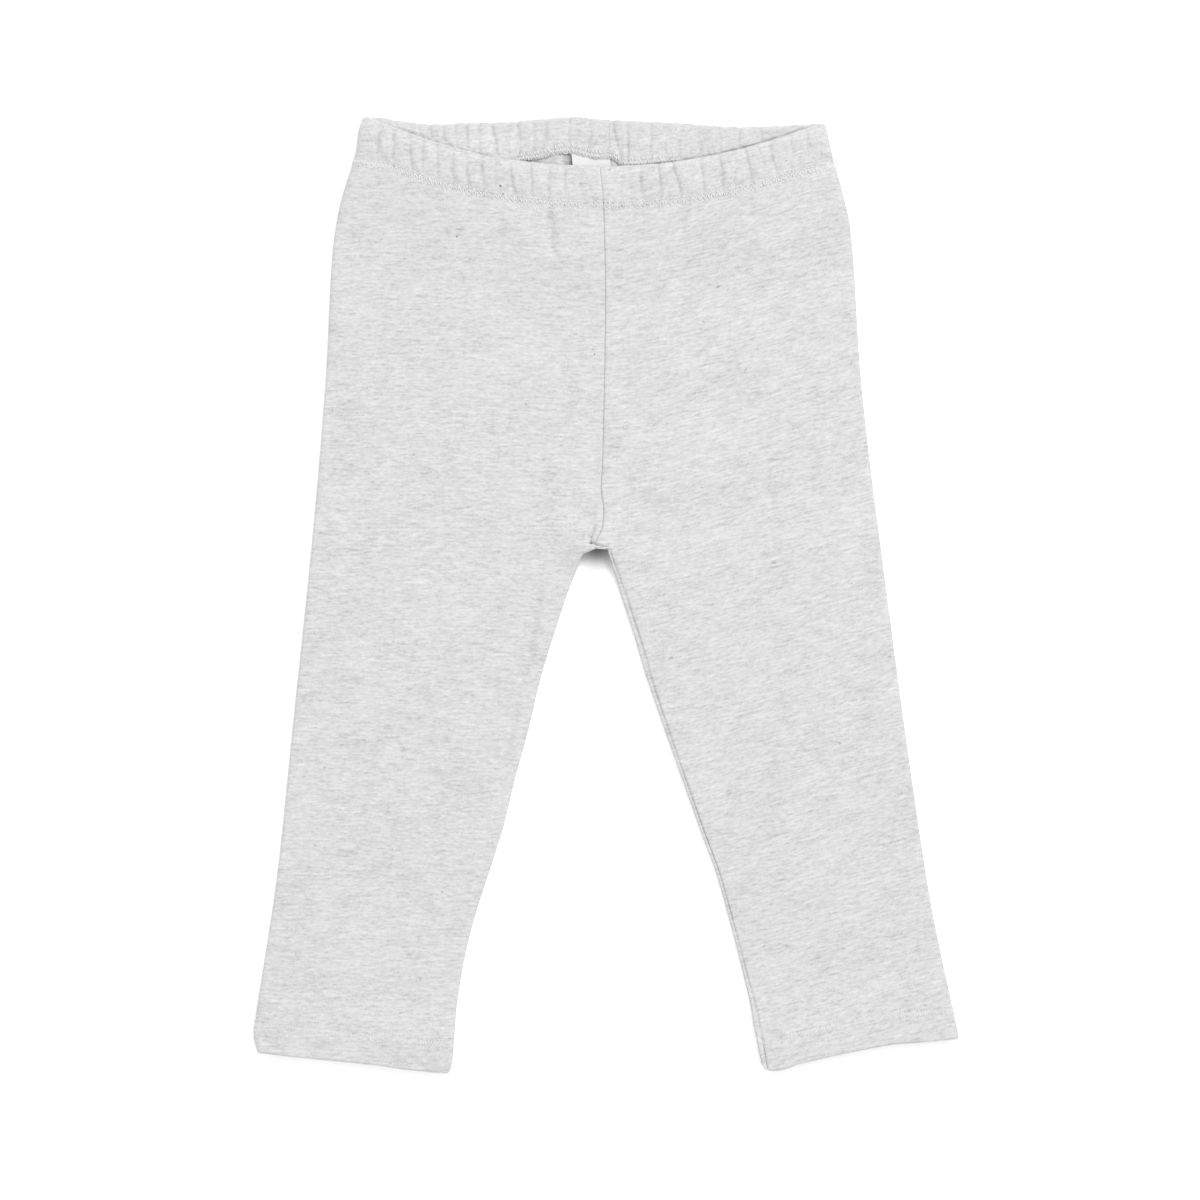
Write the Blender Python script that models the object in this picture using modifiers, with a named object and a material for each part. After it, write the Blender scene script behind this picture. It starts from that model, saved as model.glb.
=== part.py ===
"""Toddler's slim sweatpants, laid flat on a table with the front side up.

Each leg is one cut piece of jersey: it starts at the centre front, runs round the
folded side and ends at the centre back, and below the crotch its two edges meet in
the inseam.  The waist is a turned casing on a loop of elastic, the leg ends are
turned hems, and a care label hangs inside the back waist.

Frame: +X to the wearer's left, +Y towards the waist, +Z up off the table.  The
origin is on the table under the middle of the garment.  Sizes are in millimetres.
"""

import math
from collections import namedtuple

import bmesh
import bpy
from mathutils import Vector

METRES = 0.001

# Cloth and what is sewn with it
CLOTH = 1.0
SEAM_GAP = 0.3
PANEL_END_GAP = 0.45
ELASTIC_THICKNESS = 1.0
ELASTIC_ROOM = 0.8
LABEL_THICKNESS = 1.0
LAYER_GAP = 0.8
BAND_GAP = 0.6

# Waist casing
CASING_HEIGHT = 17.8
CASING_WALL = 2 * CLOTH + ELASTIC_THICKNESS + 2 * SEAM_GAP
CASING_PINCH = 2 * CLOTH + SEAM_GAP
PINCH_HEIGHT = 2.4
GATHER_DEPTH = 0.5
GATHER_UNEVENNESS = 0.35
FEWER_GATHERS_BEHIND = 5
WAIST_SLOPE = 26.0

# Turned hems
HEM_HEIGHT = 11.6
HEM_WALL = 2 * CLOTH + SEAM_GAP
HEM_GAP = 0.8
HEM_SLOPE = 12.0

# Heights of the front surface above the table
LEG_HEIGHT = 2 * CLOTH + LAYER_GAP
HEM_FRONT_HEIGHT = 2 * HEM_WALL + HEM_GAP
BAND_SIDE_HEIGHT = 2 * CASING_WALL + BAND_GAP
LABEL_ROOM = 0.2
BAND_MIDDLE_HEIGHT = CASING_WALL + CLOTH + LABEL_THICKNESS + 2 * SEAM_GAP + LABEL_ROOM
BAND_STACK_HALF_WIDTH = 38.0
BAND_MIDDLE_HALF_WIDTH = 12.0

# Plan of the waist: the front edge hangs in a shallow bow below the back edge
WAIST_CENTRE = -3.0
FRONT_EDGE_LOW = 187.4
RIGHT_EDGE_BOW = 0.0022
LEFT_EDGE_BOW = 0.00205

# Crotch and inseam
CROTCH_TOP = 21.8
CROTCH_TURN = 7.0
TURN_STEPS = 3
FOLD_STEPS = 5

# Care label
LABEL_WIDTH = 17.0
LABEL_LENGTH = 24.0
LABEL_CENTRE = -6.6
LABEL_CORNER = 0.3

SHARP_EDGE = math.radians(50)

Back = namedtuple("Back", "x y")
BACK_EDGE = (
    Back(-106.0, 210.6),
    Back(-74.0, 207.2),
    Back(-46.0, 207.7),
    Back(-14.0, 209.6),
    Back(22.0, 207.4),
    Back(63.0, 205.8),
    Back(95.0, 207.2),
)

Centre = namedtuple("Centre", "y x")
CENTRE_SEAM = (
    Centre(20.0, -3.2),
    Centre(46.0, -2.0),
    Centre(88.0, -0.7),
    Centre(176.0, -0.5),
    Centre(212.0, -2.0),
)

# One row for each level that shapes the outline: height, side edge
Side = namedtuple("Side", "y x")
RIGHT_SIDE = (
    Side(-202.0, -153.0),
    Side(-192.0, -155.5),
    Side(-170.0, -151.4),
    Side(-126.0, -144.8),
    Side(-60.0, -137.8),
    Side(28.0, -128.7),
    Side(94.0, -123.2),
    Side(149.0, -120.2),
    Side(171.0, -116.8),
    Side(190.0, -110.6),
    Side(211.0, -106.0),
)
LEFT_SIDE = (
    Side(-196.0, 155.5),
    Side(-170.0, 149.8),
    Side(-126.0, 141.4),
    Side(-60.0, 131.8),
    Side(28.0, 119.9),
    Side(94.0, 112.2),
    Side(149.0, 108.6),
    Side(171.0, 105.2),
    Side(190.0, 100.2),
    Side(211.0, 94.6),
)

# The same for the inner edge of each leg, from hem to crotch
Inner = namedtuple("Inner", "y x")
RIGHT_INNER = (
    Inner(-211.0, -70.4),
    Inner(-192.0, -66.8),
    Inner(-170.0, -64.0),
    Inner(-126.0, -52.6),
    Inner(-82.0, -39.8),
    Inner(-38.0, -28.6),
    Inner(6.0, -13.2),
    Inner(18.0, -8.6),
    Inner(24.0, -6.0),
)
LEFT_INNER = (
    Inner(-210.0, 73.0),
    Inner(-192.0, 65.4),
    Inner(-170.0, 61.2),
    Inner(-126.0, 49.2),
    Inner(-82.0, 33.6),
    Inner(-38.0, 17.6),
    Inner(-5.0, 6.8),
    Inner(6.0, 3.6),
    Inner(18.0, 0.6),
    Inner(24.0, -1.0),
)

# Soft folds that fall from the gathers into the front of each leg, below the casing
FOLD_START = 5.0
Fold = namedtuple("Fold", "x slant depth half_width length")
RIGHT_FOLDS = (
    Fold(-25.0, 0.04, 0.7, 6.0, 36.0),
    Fold(-88.0, 0.05, 0.4, 7.0, 26.0),
)
LEFT_FOLDS = (
    Fold(33.0, -0.10, 1.0, 7.0, 58.0),
    Fold(72.0, 0.03, 0.4, 7.0, 30.0),
)

# A hem runs straight from the side corner to the inner corner, bowed up a little
Hem = namedtuple("Hem", "side_y inner_y bow")
RIGHT_HEM = Hem(-201.8, -210.8, 1.2)
LEFT_HEM = Hem(-195.7, -210.4, 2.2)

# Places across the front of each panel where it has a row of points, closer at its
# folds: 0 at the centre seam and 1 at the side fold
RIGHT_ACROSS = (0.0, 0.09, 0.17, 0.225, 0.28, 0.4, 0.52, 0.63, 0.73, 0.79, 0.86, 0.93, 1.0)
LEFT_ACROSS = (0.0, 0.1, 0.19, 0.26, 0.33, 0.4, 0.52, 0.65, 0.72, 0.79, 0.9, 1.0)

Leg = namedtuple("Leg", "name side edge inner folds hem across gathers")
RIGHT = Leg("right", -1, RIGHT_SIDE, RIGHT_INNER, RIGHT_FOLDS, RIGHT_HEM, RIGHT_ACROSS, 12)
LEFT = Leg("left", 1, LEFT_SIDE, LEFT_INNER, LEFT_FOLDS, LEFT_HEM, LEFT_ACROSS, 11)

# Where a point lies round the leg; the two turned edges meet in the inseam
FRONT_TURN, FRONT, SIDE_FOLD, BACK, BACK_TURN = "front turn", "front", "side fold", "back", "back turn"
Station = namedtuple("Station", "where at crest", defaults=(0.0,))

# Rows of a leg panel: shares of the way from casing to crotch, levels round the
# crotch, and shares of the way from there to the hem
ROWS_BELOW_CASING = (0.0, 0.04, 0.08, 0.12, 0.17, 0.3, 0.5, 0.75)
CROTCH_LEVELS = (30.0, 23.0, 20.0, 17.0, 13.0, 4.0)
ROWS_ABOVE_HEM = (0.22, 0.44, 0.64, 0.82, 0.93, 0.965, 1.0)

# Places across the flat of a piece, 0 at its inner edge and 1 at the side fold
PANEL_BACK = (0.0, 0.2, 0.42, 0.66, 0.84, 1.0)
ELASTIC_ACROSS = (0.03, 0.1, 0.17, 0.24, 0.31, 0.38, 0.5, 0.62, 0.75, 0.88, 1.0)

GREY_HEATHER = (0.745, 0.745, 0.745, 1.0)
WHITE_TAPE = (0.86, 0.86, 0.86, 1.0)
ELASTIC_WHITE = (0.80, 0.80, 0.79, 1.0)


def smooth_step(value):
    """0 below 0, 1 above 1, and an even S between."""
    value = min(1.0, max(0.0, value))
    return value * value * (3.0 - 2.0 * value)


def mix(start, end, amount):
    return start + (end - start) * amount


def curve_through(rows, at):
    """Second column of a table read at a value of its first, on a smooth curve."""
    rows = sorted(rows)
    at = min(rows[-1][0], max(rows[0][0], at))
    index = max(i for i in range(len(rows) - 1) if rows[i][0] <= at)
    (x0, y0), (x1, y1) = rows[index], rows[index + 1]
    before = rows[max(0, index - 1)]
    after = rows[min(len(rows) - 1, index + 2)]
    span = x1 - x0
    slope0 = (y1 - before[1]) / (x1 - before[0]) * span
    slope1 = (after[1] - y0) / (after[0] - x0) * span
    t = (at - x0) / span
    return (
        y0 * (1 + 2 * t) * (1 - t) ** 2
        + slope0 * t * (1 - t) ** 2
        + y1 * t * t * (3 - 2 * t)
        + slope1 * t * t * (t - 1)
    )


def front_edge(x):
    """Top edge of the waist on the front, a bow that rises to both sides."""
    bow = RIGHT_EDGE_BOW if x < WAIST_CENTRE else LEFT_EDGE_BOW
    return FRONT_EDGE_LOW + bow * (x - WAIST_CENTRE) ** 2


def back_edge(x):
    """Top edge of the waist on the back."""
    return curve_through(BACK_EDGE, x)


def band_height(x):
    """Top of the front casing: low in the middle, where it lies clear of the back one."""
    away = (abs(x - WAIST_CENTRE) - BAND_MIDDLE_HALF_WIDTH) / (
        BAND_STACK_HALF_WIDTH - BAND_MIDDLE_HALF_WIDTH
    )
    return mix(BAND_MIDDLE_HEIGHT, BAND_SIDE_HEIGHT, smooth_step(away))


def hem_line(leg, x):
    """Lower edge of a leg at a place across it."""
    side = curve_through(leg.edge, leg.hem.side_y)
    inner = curve_through(leg.inner, leg.hem.inner_y)
    across = min(1.0, max(0.0, (x - side) / (inner - side)))
    return mix(leg.hem.side_y, leg.hem.inner_y, across) + leg.hem.bow * math.sin(math.pi * across)


def front_height(leg, x, y):
    """Height of the garment's front surface above the table."""
    below_casing = front_edge(x) - CASING_HEIGHT - y
    above_hem = y - hem_line(leg, x) - HEM_HEIGHT
    height = LEG_HEIGHT
    height += (band_height(x) - LEG_HEIGHT) * smooth_step(1 - below_casing / WAIST_SLOPE)
    height += (HEM_FRONT_HEIGHT - LEG_HEIGHT) * smooth_step(1 - above_hem / HEM_SLOPE)
    for fold in leg.folds:
        offset = (x - fold.x - fold.slant * below_casing) / fold.half_width
        fade = smooth_step(1 - below_casing / fold.length)
        start = smooth_step(below_casing / FOLD_START)
        height -= fold.depth * fade * start * math.exp(-offset * offset)
    return height


def turn(y):
    """0 where the panels meet at the centre seams, 1 where each leg closes on itself."""
    return smooth_step((CROTCH_TOP - y) / CROTCH_TURN)


def side_point(leg, angle, y, depth):
    """On the side fold: angle runs from 0 at the front to pi at the back."""
    edge = curve_through(leg.edge, y)
    radius = front_height(leg, edge, y) / 2
    reach = radius - depth
    return (edge - leg.side * radius + leg.side * reach * math.sin(angle), radius + reach * math.cos(angle))


def inner_fold(leg, y):
    """Inner edge of a leg and the radius that each of its turned edges has there."""
    inner = curve_through(leg.inner, y)
    return inner, (front_height(leg, inner, y) - SEAM_GAP) / 2


def seam_x(leg, y):
    """Edge of a leg's cloth at the centre seams."""
    return curve_through(CENTRE_SEAM, y) + leg.side * SEAM_GAP / 2


def turned_point(leg, station, y, depth):
    """On the last stretch before a seam edge, where `at` runs from 0 to 1 at the edge.

    Below the crotch it turns a quarter round the inner fold to the inseam.  Above the
    crotch the same stretch of cloth lies flat and ends at the centre seam.
    """
    inner, radius = inner_fold(leg, y)
    on_front = station.where == FRONT_TURN
    flat_x = seam_x(leg, y) + leg.side * (1 - station.at) * radius * math.pi / 2
    flat_z = front_height(leg, flat_x, y) - depth if on_front else depth
    angle = station.at * math.pi / 2
    closed_x = inner + leg.side * (radius - (radius - depth) * math.sin(angle))
    level = radius - (radius - depth) * math.cos(angle)
    closed_z = front_height(leg, inner, y) - level if on_front else level
    return mix(flat_x, closed_x, turn(y)), mix(flat_z, closed_z, turn(y))


def inner_limit(leg, y):
    """Where the flat front and back of a leg stop on the inside."""
    inner, radius = inner_fold(leg, y)
    flat = seam_x(leg, y) + leg.side * radius * math.pi / 2
    return mix(flat, inner + leg.side * radius, turn(y))


def cloth_point(leg, station, y, depth=0.0):
    """Point of a leg at a height, a given depth inside its outer surface."""
    if station.where == SIDE_FOLD:
        x, z = side_point(leg, station.at, y, depth)
    elif station.where in (FRONT_TURN, BACK_TURN):
        x, z = turned_point(leg, station, y, depth)
    else:
        edge = curve_through(leg.edge, y)
        outer = edge - leg.side * front_height(leg, edge, y) / 2
        x = mix(inner_limit(leg, y), outer, station.at)
        z = depth if station.where == BACK else front_height(leg, x, y) - depth
    return Vector((x, y, z))


def seam_edge(leg, station, front_line, back_line):
    """Height of a line round the leg that is stated for the front and for the back."""
    if station.where == SIDE_FOLD:
        x = cloth_point(leg, Station(FRONT, 1.0), FRONT_EDGE_LOW).x
        return mix(front_line(x), back_line(x), (1 - math.cos(station.at)) / 2)
    x = cloth_point(leg, station, FRONT_EDGE_LOW).x
    return front_line(x) if station.where in (FRONT, FRONT_TURN) else back_line(x)


def casing_bottom_front(x):
    return front_edge(x) - CASING_HEIGHT


def casing_bottom_back(x):
    return back_edge(x) - CASING_HEIGHT


def hem_at(leg, station):
    """Lower edge of the leg under a station."""
    return hem_line(leg, cloth_point(leg, station, leg.hem.inner_y + HEM_HEIGHT).x)


def front_stations(fractions):
    return [Station(FRONT, at) for at in sorted(fractions)]


def back_stations(fractions):
    return [Station(BACK, at) for at in sorted(fractions, reverse=True)]


def fold_stations():
    return [Station(SIDE_FOLD, math.pi * i / FOLD_STEPS) for i in range(1, FOLD_STEPS)]


def turned_stations(where):
    return [Station(where, i / TURN_STEPS) for i in range(1, TURN_STEPS + 1)]


def facing_out(leg, stations):
    """The same stations in the order that makes a lofted sheet face out of the leg."""
    return stations if leg.side < 0 else stations[::-1]


def panel_stations(leg):
    """Stations round a leg that closes at its inseam, from one seam edge to the other."""
    front = turned_stations(FRONT_TURN)[::-1] + front_stations(leg.across)
    back = back_stations(PANEL_BACK) + turned_stations(BACK_TURN)
    return facing_out(leg, front + fold_stations() + back)


def gather_stations(where, count, phase):
    """Crests and troughs of the gathers, unevenly spaced from the centre seam out."""
    steps = [1.0 + GATHER_UNEVENNESS * math.sin(2.1 * i + phase) for i in range(2 * count)]
    total = sum(steps)
    stations = [Station(where, 0.0)]
    run = 0.0
    for i, step in enumerate(steps):
        run += step
        waver = GATHER_UNEVENNESS * math.sin(3.7 * i + phase)
        crest = 1.0 - GATHER_UNEVENNESS + waver if i % 2 == 0 else 0.0
        stations.append(Station(where, run / total, crest))
    return stations


def band_stations(leg):
    """Stations of half the waist casing, from the centre front to the centre back."""
    front = gather_stations(FRONT, leg.gathers, 0.4 * leg.side)
    back = gather_stations(BACK, leg.gathers - FEWER_GATHERS_BEHIND, 1.3 + leg.side)
    front.insert(0, Station(FRONT_TURN, 1.0))
    back.insert(0, Station(BACK_TURN, 1.0))
    return facing_out(leg, front + fold_stations() + back[::-1])


def cloth_material(name, colour, roughness=0.9):
    material = bpy.data.materials.new(name)
    material.use_nodes = True
    shader = material.node_tree.nodes["Principled BSDF"]
    shader.inputs["Base Color"].default_value = colour
    shader.inputs["Roughness"].default_value = roughness
    shader.inputs["Metallic"].default_value = 0.0
    material.diffuse_color = colour
    return material


def add_piece(name, mesh, colour, collection):
    """A named object with its own cloth material."""
    mesh.materials.append(cloth_material(name, colour))
    piece = bpy.data.objects.new(name, mesh)
    collection.objects.link(piece)
    return piece


def add_grid(sheet, rows, closed_ring=False):
    """Quads between rows of points; returns the rows of their corners."""
    grid = [[sheet.verts.new(point * METRES) for point in row] for row in rows]
    columns = len(rows[0])
    for near, far in zip(grid, grid[1:]):
        for i in range(columns if closed_ring else columns - 1):
            j = (i + 1) % columns
            sheet.faces.new((near[i], near[j], far[j], far[i]))
    return grid


def add_rim(sheet, outer, inner):
    """Quads along one edge of a cloth, from its outer to its inner face."""
    for (a, b), (c, d) in zip(zip(outer, outer[1:]), zip(inner, inner[1:])):
        sheet.faces.new((b, a, c, d))


def make_cloth(name, outer_rows, inner_rows, collection):
    """Closed cloth between its two faces, which are lofted through like rows of points.

    The folds are as tight as the cloth is thick, so both faces come from the same
    sections, and the cloth keeps its gaps there.
    """
    mesh = bpy.data.meshes.new(name)
    sheet = bmesh.new()
    outer = add_grid(sheet, outer_rows)
    inner = add_grid(sheet, [row[::-1] for row in inner_rows])
    inner = [row[::-1] for row in inner]
    add_rim(sheet, outer[0], inner[0])
    add_rim(sheet, outer[-1][::-1], inner[-1][::-1])
    add_rim(sheet, [row[-1] for row in outer], [row[-1] for row in inner])
    add_rim(sheet, [row[0] for row in outer][::-1], [row[0] for row in inner][::-1])
    sheet.to_mesh(mesh)
    sheet.free()
    mesh.shade_smooth()
    mesh.set_sharp_from_angle(angle=SHARP_EDGE)
    add_piece(name, mesh, GREY_HEATHER, collection)


def make_tape_loop(name, rows, thickness, colour, collection):
    """Closed loop of tape with its thickness on the inner side of the rows."""
    mesh = bpy.data.meshes.new(name)
    sheet = bmesh.new()
    add_grid(sheet, rows, closed_ring=True)
    sheet.to_mesh(mesh)
    sheet.free()
    mesh.shade_smooth()
    mesh.set_sharp_from_angle(angle=SHARP_EDGE)
    tape = add_piece(name, mesh, colour, collection)
    wall = tape.modifiers.new("tape thickness", "SOLIDIFY")
    wall.thickness = thickness * METRES
    wall.offset = -1.0
    wall.use_even_offset = True


def make_leg(leg, collection):
    """One cut panel, from the waist casing to the hem."""
    stations = panel_stations(leg)
    tops = [seam_edge(leg, s, casing_bottom_front, casing_bottom_back) for s in stations]
    bottoms = [hem_at(leg, s) + HEM_HEIGHT + PANEL_END_GAP for s in stations]
    levels = []
    for part in ROWS_BELOW_CASING:
        levels.append([mix(top - PANEL_END_GAP, CROTCH_LEVELS[0], part) for top in tops])
    for level in CROTCH_LEVELS:
        levels.append([level] * len(stations))
    for part in ROWS_ABOVE_HEM:
        levels.append([mix(CROTCH_LEVELS[-1], bottom, part) for bottom in bottoms])

    def face(depth):
        return [[cloth_point(leg, s, y, depth) for s, y in zip(stations, row)] for row in levels]

    make_cloth(f"{leg.name}_leg", face(0.0), face(CLOTH), collection)


def casing_profile(inset):
    """Cloth turned over the elastic, from its inner edge over the top to its outer edge.

    Each entry is the height above the casing's lower edge, the depth in its wall, and
    the share of a gather's crest.  An inset of one cloth gives the face in the tunnel.
    """
    middle = CASING_WALL / 2
    tunnel = CASING_HEIGHT - middle
    over = (middle - inset) * math.sin(math.pi / 3)
    across = (middle - inset) / 2
    return [
        (0.0, CASING_PINCH - inset, 0.0),
        (PINCH_HEIGHT, CASING_WALL - inset, 0.2),
        (tunnel / 2, CASING_WALL - inset, 1.0),
        (tunnel, CASING_WALL - inset, 0.7),
        (tunnel + over, middle + across, 0.3),
        (tunnel + over, middle - across, 0.3),
        (tunnel, inset, 0.7),
        (tunnel / 2, inset, 1.0),
        (0.0, inset, 0.1),
    ]


def gather_shows(station, x, outside):
    """Gathers rise on the front's outer side and, where the front is clear, inside the back."""
    if station.where == FRONT:
        return 1.0 if outside else 0.0
    clear = smooth_step((BAND_STACK_HALF_WIDTH - abs(x - WAIST_CENTRE)) / BAND_MIDDLE_HALF_WIDTH)
    return 0.0 if outside else clear


def make_casing(leg, collection):
    """Half the waist casing: the panel's top turned down inside, over the elastic."""
    stations = band_stations(leg)
    bottoms = [seam_edge(leg, s, casing_bottom_front, casing_bottom_back) for s in stations]

    def face(inset):
        rows = []
        for rise, depth, share in casing_profile(inset):
            outside = depth < CASING_WALL / 2
            row = []
            for station, bottom in zip(stations, bottoms):
                flat = cloth_point(leg, station, bottom + rise, depth)
                puff = station.crest * share * GATHER_DEPTH * gather_shows(station, flat.x, outside)
                row.append(flat + Vector((0.0, 0.0, puff)))
            rows.append(row)
        return rows

    make_cloth(f"waistband_{leg.name}", face(0.0), face(CLOTH), collection)


def hem_profile(inset):
    """Cloth turned up at the leg's edge, from its outer top edge round to its inner one.

    Each entry is the height above the leg's lower edge and the depth in the wall.  An
    inset of one cloth gives the face between the two layers.
    """
    middle = HEM_WALL / 2
    under = middle - (middle - inset) * math.sin(math.pi / 3)
    across = (middle - inset) / 2
    return [
        (HEM_HEIGHT, inset),
        (0.6 * HEM_HEIGHT, inset),
        (middle, inset),
        (under, middle - across),
        (under, middle + across),
        (middle, HEM_WALL - inset),
        (HEM_HEIGHT, HEM_WALL - inset),
    ]


def make_hem(leg, collection):
    """Turned-up end of a leg: the cloth folded inside at the lower edge."""
    stations = panel_stations(leg)
    lines = [hem_at(leg, s) for s in stations]

    def face(inset):
        return [
            [cloth_point(leg, s, line + rise, depth) for s, line in zip(stations, lines)]
            for rise, depth in hem_profile(inset)
        ]

    make_cloth(f"{leg.name}_hem", face(0.0), face(CLOTH), collection)


def make_elastic(collection):
    """One loop of elastic tape that runs round inside both halves of the casing."""
    loop = []
    for leg in (RIGHT, LEFT):
        front = front_stations(ELASTIC_ACROSS)
        back = back_stations(ELASTIC_ACROSS)
        loop += [(leg, s) for s in facing_out(leg, front + fold_stations() + back)]
    tunnel = CASING_HEIGHT - CASING_WALL / 2
    rows = []
    for rise in (tunnel - ELASTIC_ROOM, tunnel / 2, PINCH_HEIGHT + ELASTIC_ROOM):
        row = []
        for leg, station in loop:
            bottom = seam_edge(leg, station, casing_bottom_front, casing_bottom_back)
            row.append(cloth_point(leg, station, bottom + rise, CLOTH + SEAM_GAP))
        rows.append(row)
    make_tape_loop("waist_elastic", rows, ELASTIC_THICKNESS, ELASTIC_WHITE, collection)


def make_label(collection):
    """Folded tape that hangs inside the back from the lower edge of the casing."""
    left, right = LABEL_CENTRE - LABEL_WIDTH / 2, LABEL_CENTRE + LABEL_WIDTH / 2
    top = min(casing_bottom_back(left), casing_bottom_back(right)) - SEAM_GAP
    bpy.ops.mesh.primitive_cube_add(size=1.0)
    label = bpy.context.object
    label.name = label.data.name = "care_label"
    size = Vector((LABEL_WIDTH, LABEL_LENGTH, LABEL_THICKNESS)) * METRES
    for vertex in label.data.vertices:
        vertex.co = vertex.co * size
    label.location = Vector((LABEL_CENTRE, top - LABEL_LENGTH / 2,
                             CLOTH + SEAM_GAP + LABEL_THICKNESS / 2)) * METRES
    edges = label.modifiers.new("soft edges", "BEVEL")
    edges.width = LABEL_CORNER * METRES
    edges.segments = 2
    label.data.materials.append(cloth_material("care_label", WHITE_TAPE, 0.6))
    for other in label.users_collection:
        other.objects.unlink(label)
    collection.objects.link(label)


def main():
    for old in list(bpy.data.objects):
        bpy.data.objects.remove(old, do_unlink=True)
    collection = bpy.data.collections.new("slim_sweatpants")
    bpy.context.scene.collection.children.link(collection)
    for leg in (RIGHT, LEFT):
        make_leg(leg, collection)
        make_casing(leg, collection)
        make_hem(leg, collection)
    make_elastic(collection)
    make_label(collection)


main()
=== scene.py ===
"""Looks of a toddler's slim sweatpants, laid flat on a table with the front side up.

Each cut piece is a thin closed shell on the form of its solid in the frame, with the
gathers, creases and seams pressed into the heathered jersey.  The sewing thread is
real geometry that follows the cloth.  Sizes are in millimetres in the frame's axes:
+X to the wearer's left, +Y towards the waist, +Z up off the table.
"""

import logging
import math
from dataclasses import dataclass
from enum import Enum
from typing import Callable, NamedTuple

import bpy
import numpy as np
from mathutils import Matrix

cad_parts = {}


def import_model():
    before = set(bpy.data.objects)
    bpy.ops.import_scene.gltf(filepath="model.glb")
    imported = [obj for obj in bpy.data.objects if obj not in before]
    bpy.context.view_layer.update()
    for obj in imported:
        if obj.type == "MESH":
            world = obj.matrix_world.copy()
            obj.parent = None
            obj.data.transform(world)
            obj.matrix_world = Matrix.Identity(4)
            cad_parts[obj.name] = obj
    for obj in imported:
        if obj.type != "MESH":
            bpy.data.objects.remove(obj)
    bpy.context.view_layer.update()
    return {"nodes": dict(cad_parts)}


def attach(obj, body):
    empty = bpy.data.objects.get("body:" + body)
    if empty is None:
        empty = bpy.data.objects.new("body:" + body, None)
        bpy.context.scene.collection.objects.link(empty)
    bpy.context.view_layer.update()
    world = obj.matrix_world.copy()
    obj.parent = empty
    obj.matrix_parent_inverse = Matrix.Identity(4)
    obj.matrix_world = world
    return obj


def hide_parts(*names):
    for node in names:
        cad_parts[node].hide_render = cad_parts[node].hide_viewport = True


Array = np.ndarray
Line = Callable[[Array], Array]
MM = 0.001
log = logging.getLogger("slim_sweatpants")


class Side(Enum):
    """The wearer's side of the garment; the value is its direction along X."""

    RIGHT = -1
    LEFT = 1


class Face(Enum):
    """The two flat sides of a leg as it lies."""

    FRONT = "front"
    BACK = "back"


class Profile(Enum):
    """Section of a crease: a soft trough, or a sharp valley between two puffs."""

    SOFT = "soft"
    SHARP = "sharp"


class Place(NamedTuple):
    """A point of a curve: where it is read, and its value there."""

    at: float
    value: float


# ---------------------------------------------------------------------------
# Curves and small sums
# ---------------------------------------------------------------------------


def smooth_step(value: Array) -> Array:
    """0 below 0, 1 above 1, and an even S between."""
    value = np.clip(value, 0.0, 1.0)
    return value * value * (3.0 - 2.0 * value)


def mix(start: Array, end: Array, amount: Array) -> Array:
    """The value a share of the way from start to end."""
    return start + (end - start) * amount


@dataclass(frozen=True)
class Curve:
    """Smooth curve through a few points."""

    points: tuple[Place, ...]

    def read(self, at: Array) -> Array:
        """Reads the curve.

        Args:
            at: Where to read it; past the ends it keeps its end values.

        Returns:
            The values there, in the same shape.
        """
        x, y = np.array(sorted(self.points), float).T
        slope = np.empty_like(y)
        slope[1:-1] = (y[2:] - y[:-2]) / (x[2:] - x[:-2])
        slope[0] = (y[1] - y[0]) / (x[1] - x[0])
        slope[-1] = (y[-1] - y[-2]) / (x[-1] - x[-2])
        at = np.clip(at, x[0], x[-1])
        i = np.clip(np.searchsorted(x, at, side="right") - 1, 0, len(x) - 2)
        span = x[i + 1] - x[i]
        t = (at - x[i]) / span
        rise = y[i] * (1 + 2 * t) * (1 - t) ** 2 + y[i + 1] * t * t * (3 - 2 * t)
        return rise + span * t * (1 - t) * (slope[i] * (1 - t) - slope[i + 1] * t)


def curve(*rows: tuple[float, float]) -> Curve:
    """A curve from rows of (where it is read, value)."""
    return Curve(tuple(Place(*row) for row in rows))


def ripple(x: Array, y: Array, seed: int, longest: float, count: int = 7) -> Array:
    """Gentle uneven waves over a surface.

    Args:
        x: Positions across, in millimetres.
        y: Positions along, in millimetres.
        seed: Which set of waves.
        longest: Longest wave length, in millimetres.
        count: How many waves are summed.

    Returns:
        A field of about unit size.
    """
    draw = np.random.default_rng(seed)
    total = np.zeros_like(x)
    for _ in range(count):
        length = longest * draw.uniform(0.3, 1.0)
        heading, phase = draw.uniform(0.0, math.tau, 2)
        along = x * math.cos(heading) + y * math.sin(heading)
        total += np.sin(math.tau * along / length + phase)
    return total / math.sqrt(count / 2)


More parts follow.
